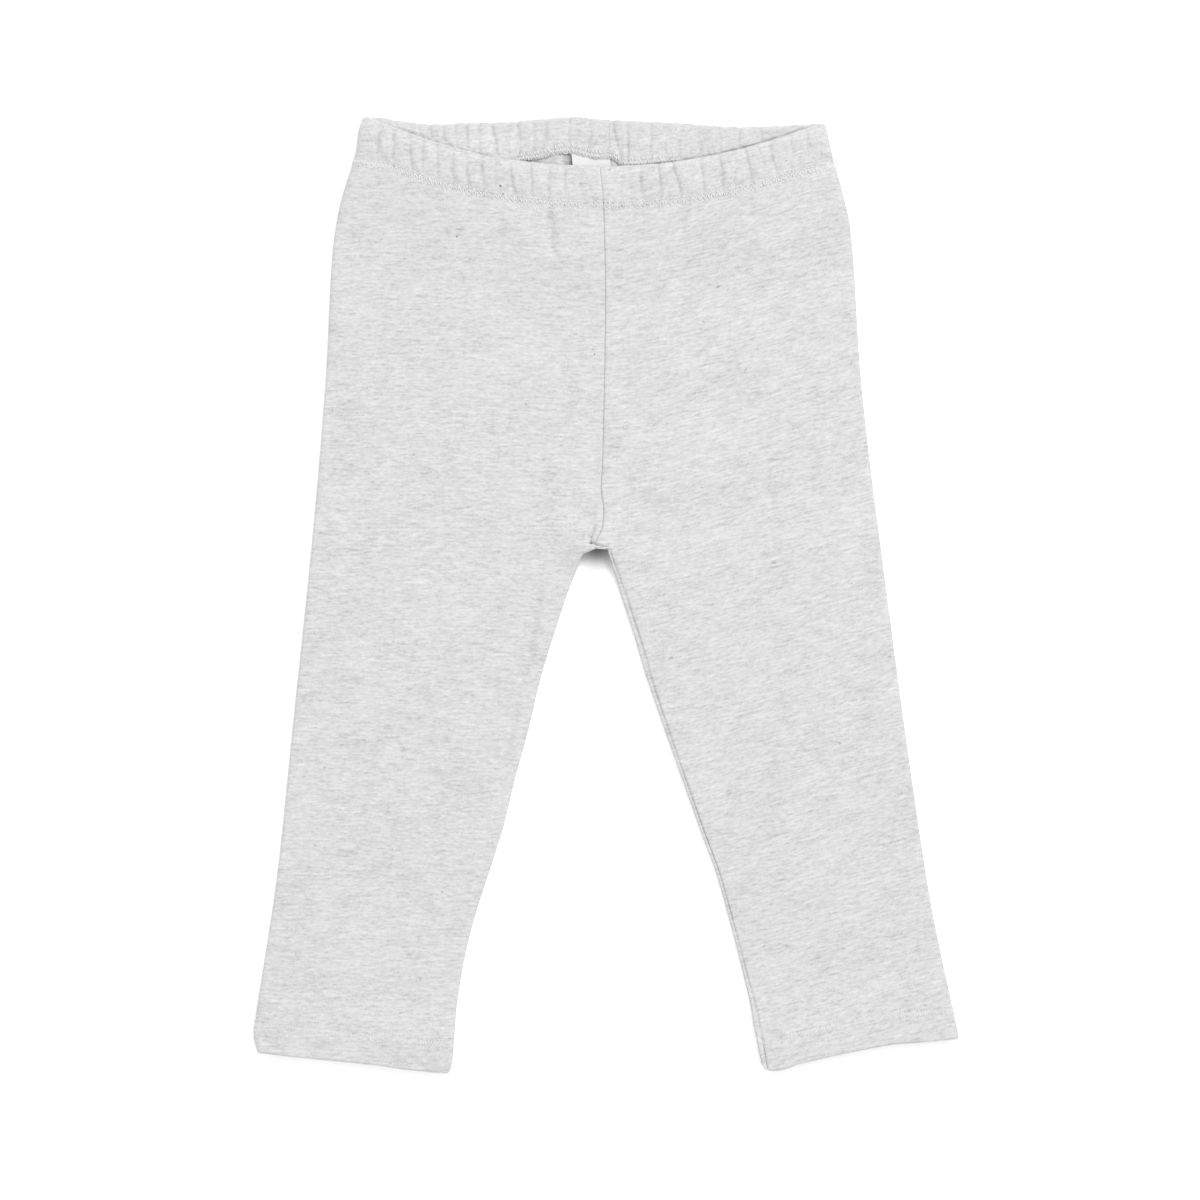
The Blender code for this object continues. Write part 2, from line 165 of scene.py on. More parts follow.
@dataclass(frozen=True)
class Crease:
    """A trough pressed into the cloth along a slightly bent line.

    The line runs from (x0, y0) to (x1, y1) and bows sideways by `bow`.  A negative
    depth makes a ridge.  `ends` is the share of the length over which it fades out.
    """

    x0: float
    y0: float
    x1: float
    y1: float
    depth: float
    half_width: float
    bow: float = 0.0
    profile: Profile = Profile.SOFT
    ends: float = 0.35

    def press(self, x: Array, y: Array) -> Array:
        """Depth of the crease at each point.

        Args:
            x: Positions across, in millimetres.
            y: Positions along, in millimetres.

        Returns:
            How far the cloth is pressed down there, in millimetres.
        """
        dx, dy = self.x1 - self.x0, self.y1 - self.y0
        length = math.hypot(dx, dy)
        along = ((x - self.x0) * dx + (y - self.y0) * dy) / length**2
        off = ((x - self.x0) * dy - (y - self.y0) * dx) / length
        share = np.clip(along, 0.0, 1.0)
        off = off - self.bow * 4.0 * share * (1.0 - share)
        past = (along - share) * length
        away = np.sqrt(off * off + past * past) / self.half_width
        if self.profile is Profile.SOFT:
            section = np.exp(-away * away)
        else:
            section = np.exp(-away)
        fade = smooth_step(share / self.ends) * smooth_step((1.0 - share) / self.ends)
        return self.depth * section * fade


def press_all(creases: tuple[Crease, ...], x: Array, y: Array) -> Array:
    """Summed depth of several creases, in millimetres."""
    total = np.zeros_like(x)
    for crease in creases:
        total += crease.press(x, y)
    return total


# Every gather is moved this far along the waist from its stated place, in millimetres
GATHER_SHIFT = -0.9
# Share of its stated half width that a valley takes
GATHER_NARROWING = 0.67
# How far a valley sways from its line, in millimetres
GATHER_SWAY = 0.3
# Strength of a valley against its stated one: the mean down its length, and the swing
GATHER_MEAN = 1.15
GATHER_SWING = 0.3


class Gather(NamedTuple):
    """A valley between two puffs of a gathered band, from its top to its bottom."""

    top_x: float
    low_x: float
    strength: float
    half_width: float


def puffs(gathers: tuple[Gather, ...], x: Array, down: Array) -> Array:
    """Fullness of a gathered band.

    Args:
        gathers: The valleys between the puffs.
        x: Positions across, in millimetres.
        down: 0 at the top of the band and 1 at its bottom.

    Returns:
        1 on a full puff and less in a valley.
    """
    full = np.ones_like(x)
    for gather in gathers:
        top_x = gather.top_x + GATHER_SHIFT
        line = mix(top_x, gather.low_x + GATHER_SHIFT, down)
        line = line + GATHER_SWAY * np.sin(6.0 * down + top_x)
        away = np.abs(x - line) / (GATHER_NARROWING * gather.half_width)
        uneven = GATHER_MEAN + GATHER_SWING * np.sin(5.0 * down + 3.0 * top_x)
        full *= 1.0 - np.minimum(gather.strength * uneven, 1.0) * np.exp(-(away**1.3))
    return full


# ---------------------------------------------------------------------------
# How the garment lies: its outline and heights
# ---------------------------------------------------------------------------


@dataclass(frozen=True)
class Leg:
    """Outline of one leg as it lies, and what marks its front.

    `edge` is the side fold, `inner` the inner outline up to the crotch, and `grain`
    the height of a course of the knit above its height at the centre seam.
    """

    name: str
    side: Side
    edge: Curve
    inner: Curve
    hem: Curve
    grain: Curve
    edge_bow: float

    @property
    def way(self) -> int:
        """Direction of this leg along X."""
        return self.side.value


@dataclass(frozen=True)
class Build:
    """Driving sizes of the garment, in millimetres."""

    cloth: float = 1.0
    layer_gap: float = 0.8
    casing_height: float = 17.8
    casing_wall: float = 3.6
    band_side_height: float = 7.8
    band_middle_height: float = 6.4
    band_stack_half_width: float = 38.0
    band_middle_half_width: float = 12.0
    waist_slope: float = 50.0
    hem_height: float = 11.6
    hem_wall: float = 2.3
    hem_front_height: float = 5.4
    hem_slope: float = 24.0
    waist_centre: float = -3.0
    waist_level: float = 206.0
    hem_level: float = -196.0
    front_low: float = 187.4
    front_rise: float = 0.5
    front_rise_x: float = -8.0
    front_rise_reach: float = 24.0
    crotch_x: float = -4.0
    crotch_top: float = 19.6
    crotch_rise: float = 5.0
    crotch_reach: float = 11.0
    rim_radius: float = 1.45

    @property
    def leg_height(self) -> float:
        """Height of two layers of cloth over the table."""
        return 2 * self.cloth + self.layer_gap


BUILD = Build()

# Offsets in the depth of the fibre pattern, in millimetres, so that no two layers look
# alike: of each panel from the middle, of a turned layer and of an inner edge
PANEL_OFFSET = 40.0
LAYER_OFFSET = 11.0
EDGE_OFFSET = 60.0

BACK_EDGE = curve(
    (-106.0, 209.6), (-98.0, 208.9), (-90.0, 207.3), (-74.0, 206.0), (-63.0, 206.9),
    (-46.0, 207.1), (-16.0, 209.5), (-10.0, 209.3), (-4.0, 208.5), (28.0, 207.0),
    (60.0, 205.1), (95.0, 206.8),
)
CENTRE_SEAM = curve(
    (19.6, -4.6), (22.4, -4.6), (28.8, -1.7), (36.3, -0.9), (45.5, -2.0), (60.0, -1.4),
    (129.0, -0.2), (174.0, -1.2), (186.0, -2.4), (212.0, -2.5),
)
BACK_SEAM = curve((19.6, -3.2), (60.0, -1.0), (120.0, 0.4), (192.0, 1.4), (212.0, 1.6))

RIGHT = Leg(
    name="right",
    side=Side.RIGHT,
    edge=curve(
        (-206.0, -151.6), (-196.0, -154.7), (-190.0, -154.6), (-126.0, -144.8),
        (-60.0, -137.8), (28.0, -128.7), (94.0, -123.2), (149.0, -120.2), (171.0, -116.8),
        (193.4, -110.0), (204.0, -108.4), (211.0, -106.2),
    ),
    inner=curve(
        (-212.0, -69.2), (-206.0, -67.5), (-179.0, -65.2), (-148.0, -59.2),
        (-104.0, -45.4), (-82.0, -40.0), (-60.0, -34.0), (-38.0, -28.8), (-3.0, -17.9),
        (16.2, -10.6), (17.2, -9.8), (19.6, -4.6),
    ),
    hem=curve(
        (-156.0, -201.4), (-140.0, -203.4), (-122.0, -205.2), (-104.0, -207.0),
        (-90.0, -209.0), (-78.0, -210.3), (-70.0, -210.9),
    ),
    grain=curve((-160.0, 0.0), (-60.0, 0.6), (0.0, 0.0)),
    edge_bow=0.0022,
)
LEFT = Leg(
    name="left",
    side=Side.LEFT,
    edge=curve(
        (-196.5, 155.5), (-126.0, 141.2), (28.0, 119.9), (94.0, 112.2), (160.0, 107.6),
        (182.8, 102.3), (193.4, 99.2), (204.0, 97.0), (211.0, 95.0),
    ),
    inner=curve(
        (-212.0, 70.4), (-207.8, 68.7), (-190.5, 65.1), (-179.0, 63.2), (-126.0, 49.4),
        (-104.0, 41.4), (-38.0, 18.2), (-20.0, 12.8), (-0.9, 6.6), (18.6, 0.8),
        (19.3, 0.1), (19.6, -4.6),
    ),
    hem=curve(
        (68.0, -206.6), (69.2, -208.4), (70.8, -209.5), (77.4, -209.5), (85.8, -206.6),
        (124.0, -198.6), (140.0, -197.2), (156.0, -195.6),
    ),
    grain=curve((0.0, 0.0), (10.0, 1.0), (30.0, 4.8), (60.0, 11.6), (100.0, 21.3), (160.0, 36.0)),
    edge_bow=0.00205,
)


def front_edge(leg: Leg, x: Array) -> Array:
    """Top edge of the waist on the front, a bow that rises to the side."""
    bow = BUILD.front_low + leg.edge_bow * (x - BUILD.waist_centre) ** 2
    away = (x - BUILD.front_rise_x) / BUILD.front_rise_reach
    return bow + BUILD.front_rise * np.exp(-(away**2))


def band_height(x: Array) -> Array:
    """Top of the front casing: low in the middle, where it lies clear of the back one."""
    away = np.abs(x - BUILD.waist_centre) - BUILD.band_middle_half_width
    rise = smooth_step(away / (BUILD.band_stack_half_width - BUILD.band_middle_half_width))
    return mix(BUILD.band_middle_height, BUILD.band_side_height, rise)


def front_height(leg: Leg, x: Array, y: Array) -> Array:
    """Height of the front surface before any crease is pressed into it.

    Args:
        leg: The leg that the points belong to.
        x: Positions across, in millimetres.
        y: Positions along, in millimetres.

    Returns:
        Heights above the table, in millimetres.
    """
    below_casing = front_edge(leg, x) - BUILD.casing_height - y
    above_hem = y - leg.hem.read(x) - BUILD.hem_height
    up_to_band = smooth_step(1.0 - below_casing / BUILD.waist_slope)
    up_to_hem = smooth_step(1.0 - above_hem / BUILD.hem_slope)
    from_crotch = np.hypot(x - BUILD.crotch_x, y - BUILD.crotch_top) / BUILD.crotch_reach
    height = BUILD.leg_height + (band_height(x) - BUILD.leg_height) * up_to_band
    height += (BUILD.hem_front_height - BUILD.leg_height) * up_to_hem
    return height + BUILD.crotch_rise * np.exp(-from_crotch * from_crotch)


# ---------------------------------------------------------------------------
# Gathers and creases
# ---------------------------------------------------------------------------

RIGHT_FRONT_GATHERS = (
    # top x, low x, strength, half width
    Gather(-103.5, -105.5, 0.35, 1.1),
    Gather(-98.2, -99.6, 0.75, 1.3),
    Gather(-92.9, -92.2, 0.85, 1.2),
    Gather(-85.2, -84.4, 0.85, 1.3),
    Gather(-79.2, -79.9, 0.75, 1.2),
    Gather(-73.8, -72.6, 0.75, 1.3),
    Gather(-66.6, -66.4, 0.70, 1.4),
    Gather(-60.6, -59.6, 0.50, 1.2),
    Gather(-53.6, -53.2, 0.70, 1.3),
    Gather(-47.4, -48.2, 0.40, 1.1),
    Gather(-42.0, -38.4, 0.90, 1.1),
    Gather(-32.2, -31.8, 0.65, 0.8),
    Gather(-24.8, -24.0, 0.60, 1.2),
    Gather(-17.8, -17.2, 0.55, 1.2),
    Gather(-9.6, -10.4, 0.35, 1.4),
)
LEFT_FRONT_GATHERS = (
    Gather(7.2, 7.6, 0.20, 1.3),
    Gather(15.4, 16.8, 0.52, 1.2),
    Gather(24.0, 24.6, 0.66, 1.2),
    Gather(30.0, 34.4, 0.80, 1.1),
    Gather(37.8, 38.2, 0.30, 1.1),
    Gather(42.6, 43.6, 0.65, 1.2),
    Gather(50.4, 52.6, 0.85, 1.2),
    Gather(56.8, 57.6, 0.30, 1.1),
    Gather(62.0, 64.8, 0.85, 1.2),
    Gather(72.4, 75.8, 1.00, 1.2),
    Gather(81.6, 82.4, 0.40, 1.2),
    Gather(88.4, 89.6, 0.30, 1.2),
    Gather(94.0, 95.4, 0.25, 1.0),
)
# Shared by the back's outer side, its top edge and the casing's inner layer
BACK_GATHERS = (
    Gather(-101.0, -100.2, 0.70, 1.3),
    Gather(-92.0, -92.6, 0.70, 1.3),
    Gather(-81.5, -79.9, 0.85, 1.2),
    Gather(-76.4, -74.6, 0.90, 1.2),
    Gather(-70.8, -69.4, 0.75, 1.2),
    Gather(-65.4, -64.6, 0.60, 1.2),
    Gather(-61.4, -58.8, 0.95, 1.1),
    Gather(-55.4, -54.6, 0.60, 1.2),
    Gather(-49.8, -46.0, 0.95, 1.1),
    Gather(-42.4, -42.0, 0.60, 1.1),
    Gather(-38.0, -36.8, 0.95, 1.2),
    Gather(-31.2, -30.6, 0.45, 1.1),
    Gather(-25.2, -26.6, 0.75, 1.2),
    Gather(-15.2, -16.0, 0.60, 1.3),
    Gather(-6.2, -6.6, 0.65, 1.1),
    Gather(3.6, 7.8, 0.90, 1.0),
    Gather(10.6, 10.4, 0.85, 1.1),
    Gather(20.0, 20.8, 0.55, 1.3),
    Gather(27.4, 27.0, 0.30, 1.2),
    Gather(33.4, 33.0, 0.45, 1.2),
    Gather(42.0, 41.2, 0.35, 1.2),
    Gather(50.0, 51.2, 0.55, 1.3),
    Gather(59.8, 59.0, 0.50, 1.2),
    Gather(68.6, 69.4, 0.45, 1.2),
    Gather(77.4, 76.8, 0.50, 1.3),
    Gather(86.6, 87.4, 0.60, 1.2),
)

# Below the front casing, the gathers fall into the legs as soft troughs
FRONT_CREASES = (
    # the two long falls and the short ones beside them
    Crease(-24.8, 170.5, -23.4, 147.0, 2.3, 1.35, ends=0.25),
    Crease(36.0, 170.8, 32.6, 156.0, 2.1, 1.3, bow=0.6, ends=0.3),
    Crease(34.0, 161.0, 28.8, 124.0, 0.90, 4.2, bow=-1.2),
    Crease(-90.2, 166.0, -89.4, 155.0, 0.45, 2.4),
    Crease(63.2, 172.6, 64.2, 162.0, 1.00, 1.8),
    Crease(71.8, 176.6, 74.6, 170.2, 1.10, 1.4),
    Crease(78.8, 170.6, 84.2, 171.8, 0.50, 0.9),
    Crease(-66.6, 168.0, -68.0, 150.0, 0.35, 3.0),
    Crease(-45.0, 166.0, -46.0, 132.0, 0.25, 5.0),
    Crease(10.0, 168.0, 12.0, 140.0, 0.22, 4.0),
    Crease(52.0, 166.0, 50.0, 128.0, 0.28, 5.0),
    Crease(90.0, 176.0, 92.0, 150.0, 0.30, 4.0),
    Crease(-104.0, 176.0, -110.0, 156.0, 0.35, 3.4),
    # soft drags about the crotch
    Crease(-4.2, 36.4, -12.6, 27.0, 1.7, 1.9, bow=-0.8, ends=0.5),
    Crease(12.0, 16.0, 18.0, 4.0, 0.8, 2.6, ends=0.5),
    Crease(2.0, 30.0, 22.0, 12.0, 0.20, 4.5, ends=0.5),
    # the inseam's allowance inside the right leg: its end shows as a soft step
    Crease(-28.0, 9.0, -35.2, -32.0, 1.1, 2.0, ends=0.2),
    Crease(-24.7, 9.0, -31.9, -32.0, -0.9, 2.4, ends=0.2),
    Crease(-34.4, -25.0, -46.0, -78.0, 0.9, 2.0, ends=0.25),
    Crease(-31.0, -25.0, -42.6, -78.0, -0.8, 2.4, ends=0.25),
    # long shallow drags down the legs
    Crease(-34.0, -34.0, -60.0, -130.0, 0.38, 9.0, bow=3.0, ends=0.5),
    Crease(-62.0, -60.0, -88.0, -150.0, 0.28, 10.0, bow=-3.0, ends=0.5),
    Crease(-100.0, 60.0, -118.0, -60.0, 0.22, 12.0, bow=4.0, ends=0.5),
    Crease(40.0, -30.0, 72.0, -132.0, 0.25, 9.0, bow=-3.0, ends=0.5),
    Crease(84.0, 40.0, 112.0, -90.0, 0.22, 12.0, bow=-4.0, ends=0.5),
    # puckers at the hems
    Crease(-151.4, -184.0, -151.0, -201.0, 0.7, 0.9, bow=-0.5, ends=0.3),
    Crease(-126.8, -199.6, -122.0, -200.6, 0.8, 1.1),
    Crease(-84.6, -206.4, -77.4, -208.6, 0.8, 1.2),
    Crease(-149.0, -199.6, -138.0, -200.6, 0.5, 1.2),
    Crease(70.6, -192.9, 75.8, -193.8, 1.5, 1.0, profile=Profile.SHARP),
    Crease(75.6, -193.4, 77.4, -198.8, 1.5, 1.0, bow=-0.4, profile=Profile.SHARP),
    Crease(98.0, -196.0, 116.0, -192.4, 0.4, 1.6),
    Crease(-88.0, -168.0, -120.0, -176.0, 0.20, 6.0, ends=0.5),
    Crease(92.0, -172.0, 130.0, -158.0, 0.20, 6.0, ends=0.5),
)
CROTCH_CREASES = (
    Crease(-4.2, 30.6, -7.2, 21.4, 3.2, 0.75, bow=0.9, profile=Profile.SHARP, ends=0.12),
    Crease(-7.8, 22.3, -3.2, 21.0, 2.0, 0.55, bow=-0.6, profile=Profile.SHARP, ends=0.10),
    Crease(-3.8, 21.4, 1.4, 20.1, 1.6, 0.50, bow=0.3, profile=Profile.SHARP, ends=0.15),
    Crease(-5.4, 26.8, -4.6, 22.8, -0.45, 0.9, ends=0.4),
)
BACK_CREASES = (
    Crease(-40.0, 184.0, -44.0, 140.0, 0.35, 4.0),
    Crease(-78.0, 182.0, -74.0, 130.0, 0.30, 5.0),
    Crease(24.0, 184.0, 29.0, 128.0, 0.38, 4.5),
    Crease(66.0, 184.0, 62.0, 142.0, 0.30, 4.0),
    Crease(-8.0, 60.0, -34.0, 22.0, 0.35, 6.0, bow=2.0),
    Crease(4.0, 56.0, 30.0, 18.0, 0.32, 6.0, bow=-2.0),
    Crease(-30.0, -20.0, -66.0, -120.0, 0.30, 9.0, bow=3.0),
    Crease(36.0, -24.0, 76.0, -126.0, 0.30, 9.0, bow=-4.0),
    Crease(-110.0, 40.0, -126.0, -90.0, 0.24, 11.0, bow=-3.0),
    Crease(98.0, 30.0, 124.0, -100.0, 0.24, 11.0, bow=3.0),
)

# How far the inseam's line stands in from the inner edge, most near the hem
INSEAM_INSET = curve(
    (-208.0, 2.2), (-195.0, 2.8), (-170.0, 1.8), (-120.0, 1.5), (-60.0, 1.7), (-5.0, 2.3),
    (17.0, 1.3),
)


def front_gathers(leg: Leg) -> tuple[Gather, ...]:
    """The gathers of one side's front casing."""
    return RIGHT_FRONT_GATHERS if leg.side is Side.RIGHT else LEFT_FRONT_GATHERS


@dataclass(frozen=True)
class Relief:
    """How far the cloth stands off its plain form: gathers, creases, seams and puckers."""

    puff_depth: float = 1.72
    puff_floor: float = 0.2
    edge_drop: float = 0.9
    edge_reach: float = 2.0
    hip_drop: float = 0.7
    seam_depth: float = 0.66
    seam_half_width: float = 0.34
    seam_shoulder: float = 0.22
    shoulder_width: float = 3.2
    pucker_depth: float = 0.2
    pucker_pitch: float = 4.6
    pucker_reach: float = 4.0
    pinch_depth: float = 0.04
    pinch_reach: float = 2.4
    hem_pitch: float = 3.9
    hem_stitch: float = 12.8
    hem_reach: float = 3.2
    wave_depth: float = 0.10
    small_wave: float = 0.13
    fallen_share: float = 0.45
    gather_fade: float = 7.0
    inseam_depth: float = 1.35
    inseam_half_width: float = 0.42
    inseam_step: float = 0.30
    inseam_dip: float = 0.45
    inseam_reach: float = 3.0
    back_wave: float = 0.09
    back_puff: float = 1.0
    back_limit: float = 1.1

    def band(self, gathers: tuple[Gather, ...], x: Array, y: Array, down: Array) -> Array:
        """Puffs of a gathered band, flat at the stitching and full above it.

        Args:
            gathers: The valleys between the puffs.
            x: Positions across, in millimetres.
            y: Positions along, in millimetres.
            down: 0 at the band's top edge and 1 at the stitching.

        Returns:
            How far the cloth stands off, in millimetres.
        """
        full = puffs(gathers, x, down)
        held = smooth_step((1.04 - down) / 0.30)
        hip = smooth_step((-34.0 - x) / 14.0)
        drop = (self.edge_drop + self.hip_drop * hip) * np.exp(
            -((down * BUILD.casing_height / (self.edge_reach + 0.8 * hip)) ** 2)
        )
        small = self.small_wave * ripple(x, 0.3 * y, 37, 5.5) * held
        return self.puff_depth * (full - self.puff_floor) * held * (1.0 - 0.5 * drop) - drop + small

    def front(self, leg: Leg, x: Array, y: Array) -> Array:
        """Relief of the front at each point of one leg's panel and casing.

        Args:
            leg: The leg that the points belong to.
            x: Positions across, in millimetres.
            y: Positions along, in millimetres.

        Returns:
            How far the cloth stands off its plain form, in millimetres.
        """
        gathers = front_gathers(leg)
        down = (front_edge(leg, x) - y) / BUILD.casing_height
        below = (down - 1.0) * BUILD.casing_height
        on_leg = smooth_step(below / 2.0)
        band = self.band(gathers, x, y, np.minimum(down, 1.0)) * (below < 0.0)
        tail = puffs(gathers, x, np.ones_like(x)) - 1.0
        fading = np.exp(-np.maximum(below, 0.0) / self.gather_fade)
        tail *= self.fallen_share * self.puff_depth * fading
        fallen = tail * smooth_step((below + 2.0) / 3.0)
        pinch = np.exp(-((below / self.pinch_reach) ** 2))
        pucker = np.sin(math.tau * x / self.pucker_pitch + 1.7 * np.sin(x / 6.1))
        near_stitch = np.exp(-((below / self.pucker_reach) ** 2))
        above_hem = y - leg.hem.read(x)
        near_hem = np.exp(-(((above_hem - self.hem_stitch) / self.hem_reach) ** 2))
        hem_pucker = np.sin(math.tau * x / self.hem_pitch + 1.3 * np.sin(x / 5.3))
        seam = CENTRE_SEAM.read(y)
        from_seam = np.abs(x - seam)
        above_crotch = smooth_step((y - BUILD.crotch_top - 1.0) / 3.0)
        sewn_in = 1.0 - 0.5 * smooth_step((y - 166.0) / 6.0)
        groove = self.seam_depth * sewn_in * np.exp(-((from_seam / self.seam_half_width) ** 1.4))
        shoulder = self.seam_shoulder * np.exp(-((from_seam - 1.6) / self.shoulder_width) ** 2)
        relief = band + fallen - self.pinch_depth * pinch
        relief += self.pucker_depth * (pucker * near_stitch + 0.8 * hem_pucker * near_hem)
        relief -= press_all(FRONT_CREASES, x, y) * on_leg
        relief -= press_all(CROTCH_CREASES, x, y)
        relief += (shoulder - groove) * above_crotch
        relief += self.wave_depth * ripple(x, y, 11, 62.0) * on_leg
        if leg.side is Side.LEFT:
            relief -= self.inseam(leg, x, y)
        return relief

    def inseam(self, leg: Leg, x: Array, y: Array) -> Array:
        """Depth of the inseam's groove, which lies on the front, close to the inner edge."""
        line = leg.inner.read(y) + leg.way * INSEAM_INSET.read(y)
        away = np.abs(x - line) / self.inseam_half_width
        below_crotch = smooth_step((BUILD.crotch_top - 0.4 - y) / 2.0)
        strip = self.inseam_step * smooth_step((line - x) * leg.way / 0.6 + 0.5)
        # beside the seam the cloth dips softly towards it, more so near the hem
        beyond = np.maximum((x - line) * leg.way, 0.0) / self.inseam_reach
        dip = self.inseam_dip * (0.35 + 0.65 * smooth_step((-70.0 - y) / 90.0))
        dip = dip * np.exp(-beyond * beyond)
        groove = np.maximum(self.inseam_depth * np.exp(-(away**1.4)), dip)
        return (groove + strip) * below_crotch

    def back(self, x: Array, y: Array) -> Array:
        """Relief of the back's outer side; it only stands in from the table, never out.

        Args:
            x: Positions across, in millimetres.
            y: Positions along, in millimetres.

        Returns:
            How far the cloth stands off its plain form, zero or less, in millimetres.
        """
        down = (BACK_EDGE.read(x) - y) / BUILD.casing_height
        below = (down - 1.0) * BUILD.casing_height
        on_band = smooth_step(-below / 2.0)
        valley = 1.0 - puffs(BACK_GATHERS, x, np.clip(down, 0.0, 1.0))
        reach = np.where(below < 0.0, 1.0, np.exp(-np.maximum(below, 0.0) / self.gather_fade))
        from_seam = np.abs(x - BACK_SEAM.read(y)) / self.seam_half_width
        groove = self.seam_depth * np.exp(-(from_seam**1.4)) * (y > BUILD.crotch_top)
        wave = self.back_wave * (1.0 + ripple(x, y, 23, 48.0)) * (1.0 - on_band)
        sunk = self.back_puff * valley * reach
        sunk = sunk + press_all(BACK_CREASES, x, y) * (1.0 - on_band)
        return -np.minimum(sunk + groove + np.maximum(wave, 0.0), self.back_limit)


RELIEF = Relief()


# ---------------------------------------------------------------------------
# The cloth's outer surface
# ---------------------------------------------------------------------------


class Skin(NamedTuple):
    """Outer surface at some points: plain form, outward normal, relief, place in the knit."""

    base: Array
    normal: Array
    relief: Array
    weave: Array

    def at(self, lift: Array | float = 0.0) -> Array:
        """Points a height above the cloth's outer face, which are its own at 0."""
        return self.base + self.normal * (self.relief + lift)[..., None]


# Relief of a turned layer, from its skin, its distances from the fold and its end
InnerRelief = Callable[[Skin, Array, Array], Array]


def outline_of_crotch() -> Array:
    """The outline round the top of the notch between the legs, as a chain of points."""
    below = np.linspace(math.sqrt(BUILD.crotch_top - 8.0), 0.0, 170)
    y = BUILD.crotch_top - below**2
    right = np.stack([RIGHT.inner.read(y), y], 1)
    left = np.stack([LEFT.inner.read(y), y], 1)
    return np.concatenate([right, left[::-1]])


def distance_to_chain(x: Array, y: Array, chain: Array) -> tuple[Array, Array, Array]:
    """Distance from points to a chain, and the direction away from it.

    Args:
        x: Positions across, in millimetres.
        y: Positions along, in millimetres.
        chain: The chain's corners, one row each.

    Returns:
        The distances, and the X and Y of the unit direction from chain to point.
    """
    start, step = chain[:-1], np.diff(chain, axis=0)
    length = np.maximum((step**2).sum(1), 1e-12)
    px, py = x[:, None] - start[:, 0], y[:, None] - start[:, 1]
    share = np.clip((px * step[:, 0] + py * step[:, 1]) / length, 0.0, 1.0)
    away_x, away_y = px - share * step[:, 0], py - share * step[:, 1]
    gap = np.hypot(away_x, away_y)
    rows = np.arange(len(x))
    nearest = gap.argmin(1)
    gap, away_x, away_y = gap[rows, nearest], away_x[rows, nearest], away_y[rows, nearest]
    safe = np.maximum(gap, 1e-6)
    return gap, away_x / safe, away_y / safe


CROTCH_CHAIN = outline_of_crotch()


class Columns(NamedTuple):
    """Where the columns of a cloth stand on their way round a leg.

    `turn` and `share` place those on the front and back: the angle round the rolled
    inner edge, then the share of the flat up to the side fold.  `fold` holds the
    angles round the side fold.
    """

    front_turn: Array
    front_share: Array
    fold: Array
    back_turn: Array
    back_share: Array


def crowd(length: float, near: float, wide: float, growth: float = 1.07) -> Array:
    """Shares of a length from 0 to 1, spaced close at 0 and wider further on."""
    places, step = [0.0], near
    while places[-1] < length:
        places.append(places[-1] + step)
        step = min(wide, step * growth)
    return np.array(places) / places[-1]


def columns(near: float, front: float, back: float, rim: int, fold: int) -> Columns:
    """Columns for one piece of cloth.

    Args:
        near: Spacing beside the seams, in millimetres.
        front: Widest spacing on the front, in millimetres.
        back: Widest spacing on the back, in millimetres.
        rim: How many columns roll round the inner edge.
        fold: How many columns round the side fold.

    Returns:
        The columns, from the front seam edge to the back one.
    """
    width = 108.0  # of flat cloth that the spacings are worked out for, in millimetres
    rolled = np.linspace(0.0, math.pi / 2, rim + 1)
    flat_front = crowd(width, near, front)[1:]
    flat_back = crowd(width, 2 * near, back, 1.12)[1:]
    sides = []
    for flat in (flat_front, flat_back):
        turn = np.concatenate([rolled, np.full(len(flat), math.pi / 2)])
        sides += [turn, np.concatenate([np.zeros(rim + 1), flat])]
    angles = np.linspace(0.0, math.pi, fold + 1)[1:-1]
    return Columns(sides[0], sides[1], angles, sides[2][::-1], sides[3][::-1])


